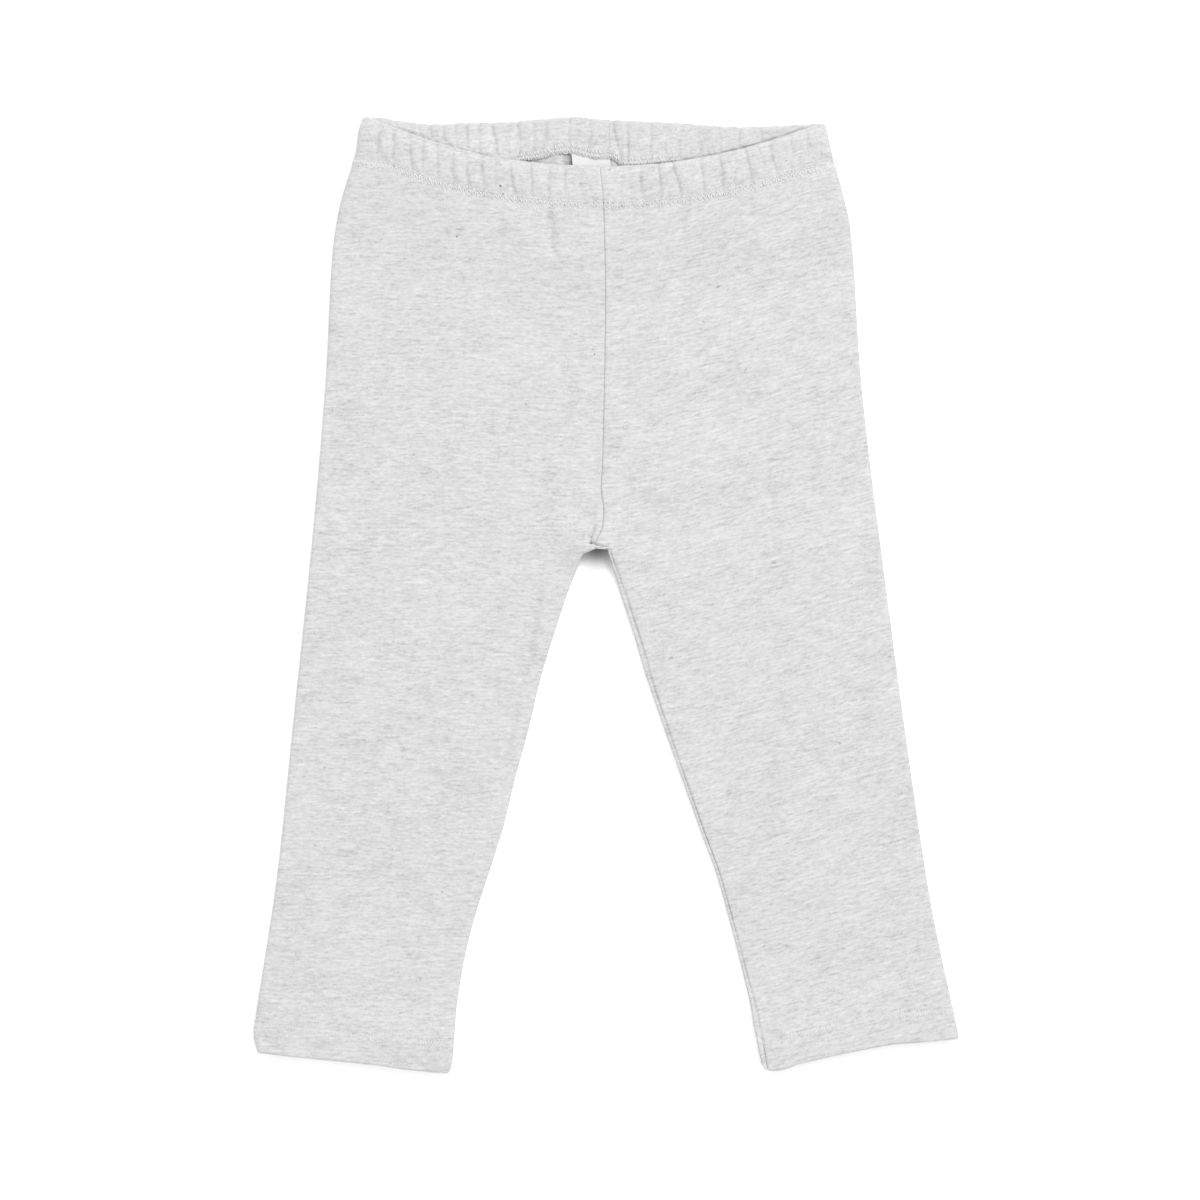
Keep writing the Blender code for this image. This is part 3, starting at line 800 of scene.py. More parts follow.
@dataclass(frozen=True)
class Form:
    """The outer surface of one side of the garment."""

    leg: Leg
    seam_room: float = 0.03

    def limit(self, face: Face, y: Array) -> Array:
        """Where a panel stops on the inside: its inner outline, or the centre seam."""
        seam = CENTRE_SEAM.read(y)
        if face is Face.BACK:
            seam = mix(seam, BACK_SEAM.read(y), smooth_step((y - BUILD.crotch_top) / 16.0))
        edge = np.where(y < BUILD.crotch_top, self.leg.inner.read(y), seam)
        return edge + self.leg.way * self.seam_room

    def stop(self, y: Array) -> tuple[Array, Array]:
        """Where the flat meets the side fold, and the fold's radius there."""
        edge = self.leg.edge.read(y)
        radius = front_height(self.leg, edge, y) / 2
        return edge - self.leg.way * radius, radius

    def across(self, face: Face, turn: Array, share: Array, y: Array) -> Array:
        """Positions across of the columns of one face, at the given heights."""
        start = self.limit(face, y)
        radius = np.minimum(front_height(self.leg, start, y) / 2, BUILD.rim_radius)
        flat = start + self.leg.way * radius * (1.0 - np.cos(turn))
        return mix(flat, self.stop(y)[0], share)

    def spread(self, lay: Columns, y_front: Array, y_back: Array) -> tuple[Array, Array]:
        """Positions across of the columns on the front, and of those on the back."""
        front = self.across(Face.FRONT, lay.front_turn, lay.front_share, y_front)
        return front, self.across(Face.BACK, lay.back_turn, lay.back_share, y_back)

    def rim(self, x: Array, y: Array) -> tuple[Array, Array, Array]:
        """Distance from points to the inner outline, and the way in from it.

        Args:
            x: Positions across, in millimetres.
            y: Positions along, in millimetres.

        Returns:
            The distances, and the X and Y of the unit direction in from the outline.
        """
        way, inner = self.leg.way, self.leg.inner
        lean = inner.read(y + 0.5) - inner.read(y - 0.5)
        scale = 1.0 / np.sqrt(1.0 + lean * lean)
        gap = np.maximum((x - inner.read(y)) * way, 0.0) * scale
        way_x, way_y = way * scale, -way * lean * scale
        gap = np.where(y > BUILD.crotch_top, 1e3, gap)
        near = (np.abs(x - BUILD.crotch_x) < 24.0) & (y > 10.5) & (y < BUILD.crotch_top + 5.0)
        if near.any():
            found = distance_to_chain(x[near], y[near], CROTCH_CHAIN)
            gap[near], way_x[near], way_y[near] = found
        return gap, way_x, way_y

    def flat(self, face: Face, x: Array, y: Array) -> Skin:
        """Outer surface of the front or the back.

        Args:
            face: Front or back.
            x: Positions across, in millimetres.
            y: Positions along, in millimetres.

        Returns:
            The surface there.
        """
        shape = x.shape
        x, y = x.ravel(), y.ravel()
        leg, front = self.leg, face is Face.FRONT
        up = 1.0 if front else -1.0
        middle = front_height(leg, x, y) / 2
        radius = np.minimum(middle, BUILD.rim_radius)
        gap, way_x, way_y = self.rim(x, y)
        inward = 1.0 - np.clip(gap / radius, 0.0, 1.0)
        turn = np.sqrt(np.maximum(1.0 - inward * inward, 0.0))
        wall = (middle - radius) * (gap > 0.06) + 0.03
        base = np.stack([x, y, middle + up * (wall + radius * turn)], -1)
        step = 0.4  # each way, to read the form's slope, in millimetres
        lean_x = front_height(leg, x + step, y) - front_height(leg, x - step, y)
        lean_y = front_height(leg, x, y + step) - front_height(leg, x, y - step)
        slope = turn * front / (2 * step)
        normal = np.stack(
            [-way_x * inward - lean_x * slope, -way_y * inward - lean_y * slope, up * turn], -1
        )
        normal /= np.linalg.norm(normal, axis=1, keepdims=True)
        relief = (RELIEF.front(leg, x, y) if front else RELIEF.back(x, y)) * turn
        course = x
        if not front:
            stop, fold = self.stop(y)
            course = 2 * stop - x + leg.way * math.pi * fold
        panel = np.full_like(x, PANEL_OFFSET * leg.way)
        weave = np.stack([course, y - leg.grain.read(x), panel], -1)
        return Skin(
            base.reshape(*shape, 3),
            normal.reshape(*shape, 3),
            relief.reshape(shape),
            weave.reshape(*shape, 3),
        )

    def fold(self, angle: Array, y: Array) -> Skin:
        """Outer surface round the side fold, at angles from 0 in front to pi behind."""
        stop, radius = self.stop(y)
        way = self.leg.way
        normal = np.stack([way * np.sin(angle), np.zeros_like(y), np.cos(angle)], -1)
        base = np.stack([stop, y, radius], -1) + normal * radius[..., None]
        front, back = smooth_step(np.cos(angle)), smooth_step(-np.cos(angle))
        relief = RELIEF.front(self.leg, stop, y) * front + RELIEF.back(stop, y) * back
        course = stop + way * angle * radius
        panel = np.full_like(y, PANEL_OFFSET * way)
        weave = np.stack([course, y - self.leg.grain.read(stop), panel], -1)
        return Skin(base, normal, relief, weave)

    def skin(self, lay: Columns, y: Array) -> Skin:
        """Outer surface of a grid of rows and columns.

        Args:
            lay: The columns.
            y: Heights, one row of them for each row of the grid.

        Returns:
            The surface, from the front seam edge round the side fold to the back one.
        """
        front, fold = len(lay.front_turn), len(lay.front_turn) + len(lay.fold)
        y_front, y_fold, y_back = y[:, :front], y[:, front:fold], y[:, fold:]
        x_front, x_back = self.spread(lay, y_front, y_back)
        angle = np.broadcast_to(lay.fold, y_fold.shape)
        parts = (
            self.flat(Face.FRONT, x_front, y_front),
            self.fold(angle, y_fold),
            self.flat(Face.BACK, x_back, y_back),
        )
        return Skin(*(np.concatenate([part[i] for part in parts], 1) for i in range(4)))

    def line(self, lay: Columns, front: Line, back: Line, guess: float) -> Array:
        """Heights of a line round the leg that is stated for the front and the back.

        Args:
            lay: The columns at which it is read.
            front: The line on the front, from a position across.
            back: The line on the back.
            guess: A height near the line, in millimetres.

        Returns:
            One height for each column.
        """
        ends = (len(lay.front_turn), len(lay.front_turn) + len(lay.fold))
        share = (1.0 - np.cos(lay.fold)) / 2
        found = np.full(ends[1] + len(lay.back_turn), guess)
        # a column leans, so where it meets the line is found in a few rounds
        for _ in range(3):
            y_front, y_fold, y_back = np.split(found, ends)
            x_front, x_back = self.spread(lay, y_front, y_back)
            stop = self.stop(y_fold)[0]
            turned = mix(front(stop), back(stop), share)
            found = np.concatenate([front(x_front), turned, back(x_back)])
        return found

    def edge_line(self, lay: Columns) -> Array:
        """Top edge of the waist at each column."""
        leg = self.leg
        return self.line(lay, lambda x: front_edge(leg, x), BACK_EDGE.read, BUILD.waist_level)

    def hem_line(self, lay: Columns) -> Array:
        """Lower edge of the leg at each column."""
        return self.line(lay, self.leg.hem.read, self.leg.hem.read, BUILD.hem_level)


# ---------------------------------------------------------------------------
# Meshes
# ---------------------------------------------------------------------------


def link(name: str, mesh: bpy.types.Mesh) -> bpy.types.Object:
    """A named object for a mesh, in the scene."""
    piece = bpy.data.objects.new(name, mesh)
    bpy.context.scene.collection.objects.link(piece)
    return piece


def new_mesh(name: str, points: Array, faces: Array, smooth_to: float = 70.0) -> bpy.types.Mesh:
    """A smooth-shaded mesh from points in millimetres and quads."""
    mesh = bpy.data.meshes.new(name)
    mesh.from_pydata((points.reshape(-1, 3) * MM).tolist(), [], faces.tolist())
    mesh.shade_smooth()
    mesh.set_sharp_from_angle(angle=math.radians(smooth_to))
    return mesh


def store(mesh: bpy.types.Mesh, name: str, values: Array) -> None:
    """Stores a number on each of the mesh's points."""
    made = mesh.attributes.new(name, "FLOAT", "POINT")
    made.data.foreach_set("value", values.astype(np.float32).ravel())


def grid_faces(corner: Array) -> Array:
    """Quads between the rows and columns of a grid of corner numbers."""
    quads = np.stack([corner[:-1, :-1], corner[:-1, 1:], corner[1:, 1:], corner[1:, :-1]], -1)
    return quads.reshape(-1, 4)


def shell_faces(corner: Array, lining: Array) -> Array:
    """Quads of a closed shell between two like grids of corner numbers.

    Args:
        corner: Corner numbers of the outer face.
        lining: Corner numbers of the inner face.

    Returns:
        The quads of both faces and of the rim round them.
    """

    def rim(outer: Array, inner: Array) -> Array:
        """Quads along one edge of the shell."""
        return np.stack([outer[1:], outer[:-1], inner[:-1], inner[1:]], -1)

    return np.concatenate(
        [
            grid_faces(corner),
            grid_faces(lining)[:, ::-1],
            rim(corner[0], lining[0]),
            rim(corner[-1, ::-1], lining[-1, ::-1]),
            rim(corner[::-1, 0], lining[::-1, 0]),
            rim(corner[:, -1], lining[:, -1]),
        ]
    )


def make_shell(
    name: str, outer: Array, inner: Array, weave: Array, turned: bool, shade: Array | float = 0.0
) -> bpy.types.Object:
    """A closed piece of cloth between two faces.

    Args:
        name: Name of the piece.
        outer: Rows of points of its outer face.
        inner: The same rows on its inner face.
        weave: Place of each point in the knit.
        turned: True if the faces have to be turned round to face out.
        shade: How deep in painted shade each outer point lies, from 0 to 1.

    Returns:
        The piece, in the scene.
    """
    count = outer.shape[0] * outer.shape[1]
    corner = np.arange(count).reshape(outer.shape[:2])
    faces = shell_faces(corner, corner + count)
    if turned:
        faces = faces[:, ::-1]
    points = np.concatenate([outer.reshape(-1, 3), inner.reshape(-1, 3)])
    mesh = new_mesh(name, points, faces)
    place = mesh.attributes.new("weave", "FLOAT_VECTOR", "POINT")
    both = np.concatenate([weave.reshape(-1, 3), weave.reshape(-1, 3)])
    place.data.foreach_set("vector", both.astype(np.float32).ravel())
    # painted shade: the inner face is darkened in full, the outer face as much as `shade` says,
    # stored as the 'inside' number
    painted_shades = np.ones(2 * count)
    painted_shades[:count] = np.broadcast_to(shade, outer.shape[:2]).ravel()
    store(mesh, "inside", painted_shades)
    return link(name, mesh)


class Path(NamedTuple):
    """A line on the cloth: its points and the outward normals there."""

    point: Array
    normal: Array

    def walk(self, pitch: float) -> Array:
        """Distances along the line, a pitch apart."""
        length = float(np.linalg.norm(np.diff(self.point, axis=0), axis=1).sum())
        return np.arange(pitch / 2, length - pitch / 2, pitch)

    def at(self, along: Array) -> "Path":
        """The line at distances along it."""
        step = np.linalg.norm(np.diff(self.point, axis=0), axis=1)
        run = np.concatenate([[0.0], np.cumsum(step)])
        point, normal = (
            np.stack([np.interp(along, run, track[:, i]) for i in range(3)], -1)
            for track in (self.point, self.normal)
        )
        return Path(point, normal / np.linalg.norm(normal, axis=1, keepdims=True))


class Stitches(NamedTuple):
    """Many short stitches, from start to end, and the cloth's normals under them."""

    start: Array
    end: Array
    normal: Array


@dataclass(frozen=True)
class Thread:
    """Sewing thread, laid as short arched stitches."""

    radius: float = 0.20
    arch: float = 0.26
    rings: int = 5
    sides: int = 6
    # strength of the painted shade at each stitch's ends, where the thread dips into the cloth
    sunk: float = 1.0

    def rings_of(self, run: Stitches) -> Array:
        """Points round each stitch: one row of rings for each stitch."""
        along = np.linspace(0.0, 1.0, self.rings)
        bend = np.sin(math.pi * along)
        span = run.end - run.start
        direction = span / np.maximum(np.linalg.norm(span, axis=1, keepdims=True), 1e-6)
        across = np.cross(run.normal, direction)
        across /= np.maximum(np.linalg.norm(across, axis=1, keepdims=True), 1e-6)
        up = np.cross(direction, across)
        centre = run.start[:, None] + span[:, None] * along[:, None]
        centre = centre + up[:, None] * (self.arch * bend - 0.4 * self.radius)[:, None]
        size = self.radius * (0.8 + 0.2 * np.sqrt(bend))
        turn = np.linspace(0.0, math.tau, self.sides, endpoint=False)
        cosine, sine = np.cos(turn)[:, None], np.sin(turn)[:, None]
        ring = across[:, None, None] * cosine + up[:, None, None] * sine
        return centre[:, :, None] + ring * size[:, None, None]

    def sew(self, name: str, runs: list[Stitches]) -> bpy.types.Object:
        """All the stitches of one thread as one piece.

        Args:
            name: Name of the piece.
            runs: The stitches.

        Returns:
            The piece, in the scene.
        """
        points = np.concatenate([self.rings_of(run) for run in runs])
        points[..., 2] = np.maximum(points[..., 2], 0.02)
        count, rings, sides, _ = points.shape
        corner = np.arange(rings * sides).reshape(rings, sides)
        tube = grid_faces(np.concatenate([corner, corner[:, :1]], 1))
        caps = []
        for ring in (corner[0], corner[-1, ::-1]):
            caps += [[ring[3], ring[2], ring[1], ring[0]], [ring[0], ring[5], ring[4], ring[3]]]
        one = np.concatenate([tube, np.array(caps)])
        faces = (one[None] + (np.arange(count) * rings * sides)[:, None, None]).reshape(-1, 4)
        mesh = new_mesh(name, points, faces[:, ::-1], 80.0)
        # painted shade of the needle holes: darker towards each stitch's ends, by a random share
        # for each stitch
        sunk = 1.0 - np.sin(math.pi * np.linspace(0.0, 1.0, rings)) ** 0.5
        share = self.sunk * np.random.default_rng(count).uniform(0.1, 1.0, (count, 1, 1))
        sunk = np.broadcast_to(sunk[None, :, None] * share, (count, rings, sides))
        store(mesh, "tuck", sunk)
        return link(name, mesh)


# ---------------------------------------------------------------------------
# Finishes
# ---------------------------------------------------------------------------

Socket = bpy.types.NodeSocket


class Graph:
    """Small helper that adds nodes to a tree and links them."""

    def __init__(self, tree: bpy.types.NodeTree) -> None:
        """Starts on a tree, which it empties."""
        self.tree = tree
        tree.nodes.clear()

    def add(self, kind: str, settings: dict | None = None, **inputs: object) -> bpy.types.Node:
        """Adds a node.

        Args:
            kind: The node's type name, after "ShaderNode".
            settings: Properties of the node.
            **inputs: Its sockets by name, with underscores for spaces: a value or a link.

        Returns:
            The node.
        """
        node = self.tree.nodes.new(kind if kind.startswith("Node") else f"ShaderNode{kind}")
        for name, value in (settings or {}).items():
            setattr(node, name, value)
        for name, value in inputs.items():
            self.put(node.inputs[name.replace("_", " ")], value)
        return node

    def put(self, socket: Socket, value: object) -> None:
        """Links a socket, or sets its value."""
        if isinstance(value, bpy.types.NodeSocket):
            self.tree.links.new(value, socket)
        else:
            socket.default_value = value

    def math(self, operation: str, *values: object) -> Socket:
        """A Math node's result."""
        node = self.add("Math", {"operation": operation})
        for socket, value in zip(node.inputs, values):
            self.put(socket, value)
        return node.outputs[0]

    def blend(self, amount: Socket, first: object, second: object) -> Socket:
        """A colour between two, the first at 0 and the second at 1."""
        node = self.add("Mix", {"data_type": "RGBA"})
        self.put(node.inputs["Factor"], amount)
        self.put(node.inputs["A"], first)
        self.put(node.inputs["B"], second)
        return node.outputs["Result"]

    def read(self, attribute: str) -> Socket:
        """A number stored on the mesh's points."""
        return self.add("Attribute", {"attribute_name": attribute}).outputs["Fac"]

    def bump(self, shader: bpy.types.Node, strength: float, reach: float, height: Socket) -> None:
        """Gives a shader fine relief; the reach is in metres."""
        bump = self.add("Bump", Strength=strength, Distance=reach, Height=height)
        self.put(shader.inputs["Normal"], bump.outputs["Normal"])

    def seen(self) -> Socket:
        """1 for the camera, also by reflection or transmission, and 0 for other light paths."""
        rays = self.add("LightPath").outputs
        seen = self.math("MAXIMUM", rays["Is Camera Ray"], rays["Is Glossy Ray"])
        return self.math("MAXIMUM", seen, rays["Is Transmission Ray"])

    def vector(self, x: object, y: object, z: object) -> Socket:
        """A vector from its parts."""
        return self.add("CombineXYZ", X=x, Y=y, Z=z).outputs[0]

    def noise(self, place: Socket, detail: float = 0.0, rough: float = 0.5) -> Socket:
        """Noise around zero with cells of unit size."""
        node = self.add(
            "TexNoise",
            {"noise_dimensions": "3D", "normalize": True},
            Vector=place,
            Scale=1.0,
            Detail=detail,
            Roughness=rough,
        )
        return self.math("SUBTRACT", node.outputs["Fac"], 0.5)


def new_group(name: str, inputs: dict[str, tuple[str, float]], outputs: dict[str, str]) -> Graph:
    """An empty shader node group with named sockets.

    Args:
        name: Name of the group.
        inputs: Socket type and starting value by name.
        outputs: Socket type by name.

    Returns:
        The group's graph.
    """
    tree = bpy.data.node_groups.new(name, "ShaderNodeTree")
    graph = Graph(tree)
    for socket, (kind, start) in inputs.items():
        made = tree.interface.new_socket(socket, in_out="INPUT", socket_type=kind)
        if kind == "NodeSocketFloat":
            made.default_value = start
    for socket, kind in outputs.items():
        tree.interface.new_socket(socket, in_out="OUTPUT", socket_type=kind)
    return graph


class Groups:
    """The shader node groups that several finishes share, each built once."""

    def __init__(self) -> None:
        """Builds the groups."""
        self.heather = self.build_heather()
        self.knit = self.build_knit()
        self.twist = self.build_twist()

    @staticmethod
    def build_heather() -> bpy.types.NodeTree:
        """Mixed pale and dark fibres, drawn out along the courses of the knit."""
        graph = new_group(
            "Heather Fibres",
            {
                "Place": ("NodeSocketVector", 0.0),
                "Streak Height": ("NodeSocketFloat", 1.15),
                "Contrast": ("NodeSocketFloat", 1.0),
            },
            {"Tone": "NodeSocketFloat", "Fleck": "NodeSocketFloat"},
        )
        source = graph.add("NodeGroupInput")
        split = graph.add("SeparateXYZ", Vector=source.outputs["Place"])
        course, wale, panel = split.outputs
        row = graph.math("DIVIDE", wale, source.outputs["Streak Height"])
        total: Socket | None = None
        # length of a streak along the course, its weight
        streaks = ((0.9, 0.32), (2.2, 0.52), (5.0, 0.40), (11.0, 0.26))
        for number, (length, weight) in enumerate(streaks):
            along = graph.math("DIVIDE", course, length)
            shift = graph.math("ADD", panel, 7.3 * number)
            waves = graph.noise(graph.vector(along, row, shift))
            part = graph.math("MULTIPLY", waves, weight)
            total = part if total is None else graph.math("ADD", total, part)
        # width of a patch, its height, its weight: clouds, patches and single fibres
        for wide, high, weight in ((30.0, 24.0, 0.13), (10.0, 7.0, 0.18), (0.45, 0.40, 0.46)):
            along = graph.math("DIVIDE", course, wide)
            down = graph.math("DIVIDE", wale, high)
            waves = graph.noise(graph.vector(along, down, panel))
            total = graph.math("ADD", total, graph.math("MULTIPLY", waves, weight))
        total = graph.math("MULTIPLY", total, source.outputs["Contrast"])
        # dark fibres stand out more than pale ones do
        dark = graph.math("MAXIMUM", graph.math("MULTIPLY", total, -1.0), 0.0)
        tail = graph.math("MULTIPLY", graph.math("MULTIPLY", dark, dark), 1.6)
        tone = graph.math("SUBTRACT", total, tail)
        seldom = graph.vector(
            graph.math("DIVIDE", course, 2.6), graph.math("DIVIDE", wale, 1.6), 90.5
        )
        fleck = graph.math("SUBTRACT", graph.noise(seldom), 0.365)
        fleck = graph.math("MINIMUM", graph.math("MAXIMUM", fleck, 0.0), 0.02)
        sink = graph.add("NodeGroupOutput")
        graph.put(sink.inputs["Tone"], tone)
        graph.put(sink.inputs["Fleck"], graph.math("MULTIPLY", fleck, 20.0))
        return graph.tree

    @staticmethod
    def build_knit() -> bpy.types.NodeTree:
        """Height of plain jersey: columns of V-shaped loops."""
        graph = new_group(
            "Jersey Loops",
            {
                "Place": ("NodeSocketVector", 0.0),
                "Wale": ("NodeSocketFloat", 0.6),
                "Course": ("NodeSocketFloat", 0.42),
            },
            {"Height": "NodeSocketFloat"},
        )
        source = graph.add("NodeGroupInput")
        split = graph.add("SeparateXYZ", Vector=source.outputs["Place"])
        course, wale, _ = split.outputs
        column = graph.math("DIVIDE", course, source.outputs["Wale"])
        inside = graph.math("PINGPONG", column, 0.5)
        rib = graph.math("SINE", graph.math("MULTIPLY", inside, math.tau))
        slope = graph.math("MULTIPLY", inside, 1.1)
        loop = graph.math("DIVIDE", wale, source.outputs["Course"])
        loop = graph.math("ADD", loop, slope)
        legs = graph.math("SINE", graph.math("MULTIPLY", loop, math.tau))
        height = graph.math("ADD", rib, graph.math("MULTIPLY", legs, 0.5))
        sink = graph.add("NodeGroupOutput")
        graph.put(sink.inputs["Height"], height)
        return graph.tree

    @staticmethod
    def build_twist() -> bpy.types.NodeTree:
        """Twisted yarn: slanted plies with a soft grain."""
        graph = new_group(
            "Twisted Yarn",
            {"Place": ("NodeSocketVector", 0.0), "Pitch": ("NodeSocketFloat", 0.6)},
            {"Tone": "NodeSocketFloat", "Height": "NodeSocketFloat"},
        )
        source = graph.add("NodeGroupInput")
        split = graph.add("SeparateXYZ", Vector=source.outputs["Place"])
        across, along, lift = split.outputs
        level = graph.math("ADD", across, along)
        slant = graph.math("ADD", level, graph.math("MULTIPLY", lift, 2.0))
        turns = graph.math("DIVIDE", slant, source.outputs["Pitch"])
        ply = graph.math("SINE", graph.math("MULTIPLY", turns, math.tau))
        grain = graph.noise(source.outputs["Place"], 2.0)
        sink = graph.add("NodeGroupOutput")
        graph.put(sink.inputs["Height"], graph.math("ADD", ply, grain))
        graph.put(sink.inputs["Tone"], graph.math("MULTIPLY", grain, 2.0))
        return graph.tree


def new_material(name: str, roughness: float, sheen: float) -> tuple[Graph, bpy.types.Node]:
    """An empty material with its shader.

    Args:
        name: Name of the material.
        roughness: Roughness of the shader.
        sheen: Weight of the fuzz on the surface.

    Returns:
        The material's graph and its shader.
    """
    material = bpy.data.materials.new(name)
    material.use_nodes = True
    graph = Graph(material.node_tree)
    shader = graph.add("BsdfPrincipled", Roughness=roughness, Sheen_Weight=sheen)
    shader.inputs["Specular IOR Level"].default_value = 0.25
    shader.inputs["Sheen Roughness"].default_value = 0.6
    output = graph.add("OutputMaterial")
    graph.put(output.inputs["Surface"], shader.outputs["BSDF"])
    return graph, shader


def grey(value: float) -> tuple[float, float, float, float]:
    """A neutral colour."""
    return (value, value, value, 1.0)


def tinted(graph: Graph, tone: float, spread: float, amount: Socket) -> Socket:
    """A neutral colour about a tone: the spread below it at 0, and above it at 1."""
    return graph.blend(amount, grey(tone - spread), grey(tone + spread))


def twisted(
    graph: Graph, groups: Groups, scale: float, tone: float, spread: float
) -> tuple[Socket, Socket]:
    """Look of twisted yarn.

    Args:
        graph: The material's graph.
        groups: The shared node groups.
        scale: Units of the yarn's pattern in a metre.
        tone: The yarn's own tone.
        spread: How far its fibres lie below and above that tone.

    Returns:
        The yarn's colour and its height.
    """
    source = graph.add("TexCoord").outputs["Object"]
    place = graph.add("VectorMath", {"operation": "SCALE"}, Vector=source, Scale=scale)
    twist = graph.add("Group", {"node_tree": groups.twist}, Place=place.outputs[0])
    amount = graph.math("ADD", twist.outputs["Tone"], 0.5)
    return tinted(graph, tone, spread, amount), twist.outputs["Height"]


@dataclass(frozen=True)
class HeatherJersey:
    """Light grey heathered jersey.

    `reach` is the spread of the tone on each side of `tone`, which is the cloth's
    colour, and `loops` how high the knit stands.
    """

    tone: float = 0.722
    reach: float = 0.30
    fleck_drop: float = 0.55
    streak_height: float = 0.96
    contrast: float = 0.62
    roughness: float = 0.95
    sheen: float = 0.25
    loops: float = 0.35
    fibre: float = 0.35
    # painted shade for cloth that lies deep inside: how strong it is, and the colour it darkens
    # towards
    painted_shade_strength: float = 0.5
    painted_shade_tone: float = 0.03

    def build(self, groups: Groups) -> bpy.types.Material:
        """The material, from the shared heather and knit groups."""
        graph, shader = new_material("heather_jersey", self.roughness, self.sheen)
        place = graph.add("Attribute", {"attribute_name": "weave"}).outputs["Vector"]
        heather = graph.add("Group", {"node_tree": groups.heather}, Place=place)
        heather.inputs["Streak Height"].default_value = self.streak_height
        heather.inputs["Contrast"].default_value = self.contrast
        amount = graph.math("ADD", heather.outputs["Tone"], 0.5)
        colour = tinted(graph, self.tone, self.reach, amount)
        fleck = graph.math("MULTIPLY", heather.outputs["Fleck"], 0.9)
        colour = graph.blend(fleck, colour, grey(self.tone - self.fleck_drop))
        # painted shade: the colour is darkened by the points' 'inside' number
        inside = graph.math("MULTIPLY", graph.read("inside"), self.painted_shade_strength)
        graph.put(shader.inputs["Base Color"], graph.blend(inside, colour, grey(self.painted_shade_tone)))
        knit = graph.add("Group", {"node_tree": groups.knit}, Place=place)
        height = graph.math("MULTIPLY", knit.outputs["Height"], self.loops)
        fibre = graph.math("MULTIPLY", heather.outputs["Tone"], self.fibre)
        height = graph.math("ADD", height, fibre)
        graph.bump(shader, 0.5, 0.0001, height)
        return bpy.data.materials["heather_jersey"]


@dataclass(frozen=True)
class SewingThread:
    """Soft grey sewing thread, a little lighter than the cloth."""

    tone: float = 0.92
    spread: float = 0.05
    roughness: float = 0.75
    # painted shade at the needle holes: its strength, and the colour it darkens towards
    hole_shade: float = 0.58
    hole_shade_tone: float = 0.10
    pattern_scale: float = 1000.0

    def build(self, groups: Groups) -> bpy.types.Material:
        """The material, from the shared twisted yarn group."""
        graph, shader = new_material("sewing_thread", self.roughness, 0.05)
        colour, height = twisted(graph, groups, self.pattern_scale, self.tone, self.spread)
        # where the thread dips into its needle hole, its colour is darkened: painted shade of the
        # hole
        sunk = graph.math("MULTIPLY", graph.read("tuck"), self.hole_shade)
        graph.put(shader.inputs["Base Color"], graph.blend(sunk, colour, grey(self.hole_shade_tone)))
        graph.bump(shader, 0.4, 0.00005, height)
        return bpy.data.materials["sewing_thread"]


@dataclass(frozen=True)
class SatinTape:
    """White woven satin tape, smooth with fine threads across it."""

    tone: float = 0.88
    spread: float = 0.03
    roughness: float = 0.42
    thread_pitch: float = 0.22

    def build(self) -> bpy.types.Material:
        """The material."""
        graph, shader = new_material("satin_tape", self.roughness, 0.0)
        source = graph.add("TexCoord").outputs["Object"]
        split = graph.add("SeparateXYZ", Vector=source)
        pitch = math.tau / (self.thread_pitch * MM)
        weft = graph.math("SINE", graph.math("MULTIPLY", split.outputs[1], pitch))
        warp = graph.math("SINE", graph.math("MULTIPLY", split.outputs[0], 0.6 * pitch))
        place = graph.add("VectorMath", {"operation": "SCALE"}, Vector=source, Scale=900.0)
        soft = graph.noise(place.outputs[0], 2.0)
        amount = graph.math("ADD", soft, 0.5)
        colour = tinted(graph, self.tone, self.spread, amount)
        graph.put(shader.inputs["Base Color"], colour)
        height = graph.math("ADD", weft, graph.math("MULTIPLY", warp, 0.4))
        graph.bump(shader, 0.3, 0.00003, height)
        return bpy.data.materials["satin_tape"]


@dataclass(frozen=True)
class WovenElastic:
    """White elastic tape: ribs of covered rubber along it, crossed by weft threads."""

    tone: float = 0.78
    spread: float = 0.06
    roughness: float = 0.8
    rib_pitch: float = 1.2
    weft_pitch: float = 0.9

    def build(self) -> bpy.types.Material:
        """The material."""
        graph, shader = new_material("woven_elastic", self.roughness, 0.02)
        source = graph.add("TexCoord").outputs["Object"]
        split = graph.add("SeparateXYZ", Vector=source)
        rib_turn = math.tau / (self.rib_pitch * MM)
        weft_turn = math.tau / (self.weft_pitch * MM)
        rib = graph.math("SINE", graph.math("MULTIPLY", split.outputs[1], rib_turn))
        weft = graph.math("SINE", graph.math("MULTIPLY", split.outputs[0], weft_turn))
        height = graph.math("MULTIPLY", rib, weft)
        amount = graph.math("ADD", graph.math("MULTIPLY", height, 0.4), 0.5)
        colour = tinted(graph, self.tone, self.spread, amount)
        graph.put(shader.inputs["Base Color"], colour)
        graph.bump(shader, 0.6, 0.0002, height)
        return bpy.data.materials["woven_elastic"]


@dataclass(frozen=True)
class DarkFibre:
    """Stray dark fibre caught in the knit."""

    tone: float = 0.16
    spread: float = 0.05
    pattern_scale: float = 1500.0

    def build(self, groups: Groups) -> bpy.types.Material:
        """The material, from the shared twisted yarn group."""
        graph, shader = new_material("dark_fibre", 0.9, 0.1)
        colour, height = twisted(graph, groups, self.pattern_scale, self.tone, self.spread)
        graph.put(shader.inputs["Base Color"], colour)
        graph.bump(shader, 0.4, 0.00005, height)
        return bpy.data.materials["dark_fibre"]


class Finishes:
    """The garment's materials."""

    def __init__(self) -> None:
        """Builds each material once."""
        groups = Groups()
        self.jersey = HeatherJersey().build(groups)
        self.thread = SewingThread().build(groups)
        self.dark_fibre = DarkFibre().build(groups)
        self.tape = SatinTape().build()
        self.elastic = WovenElastic().build()


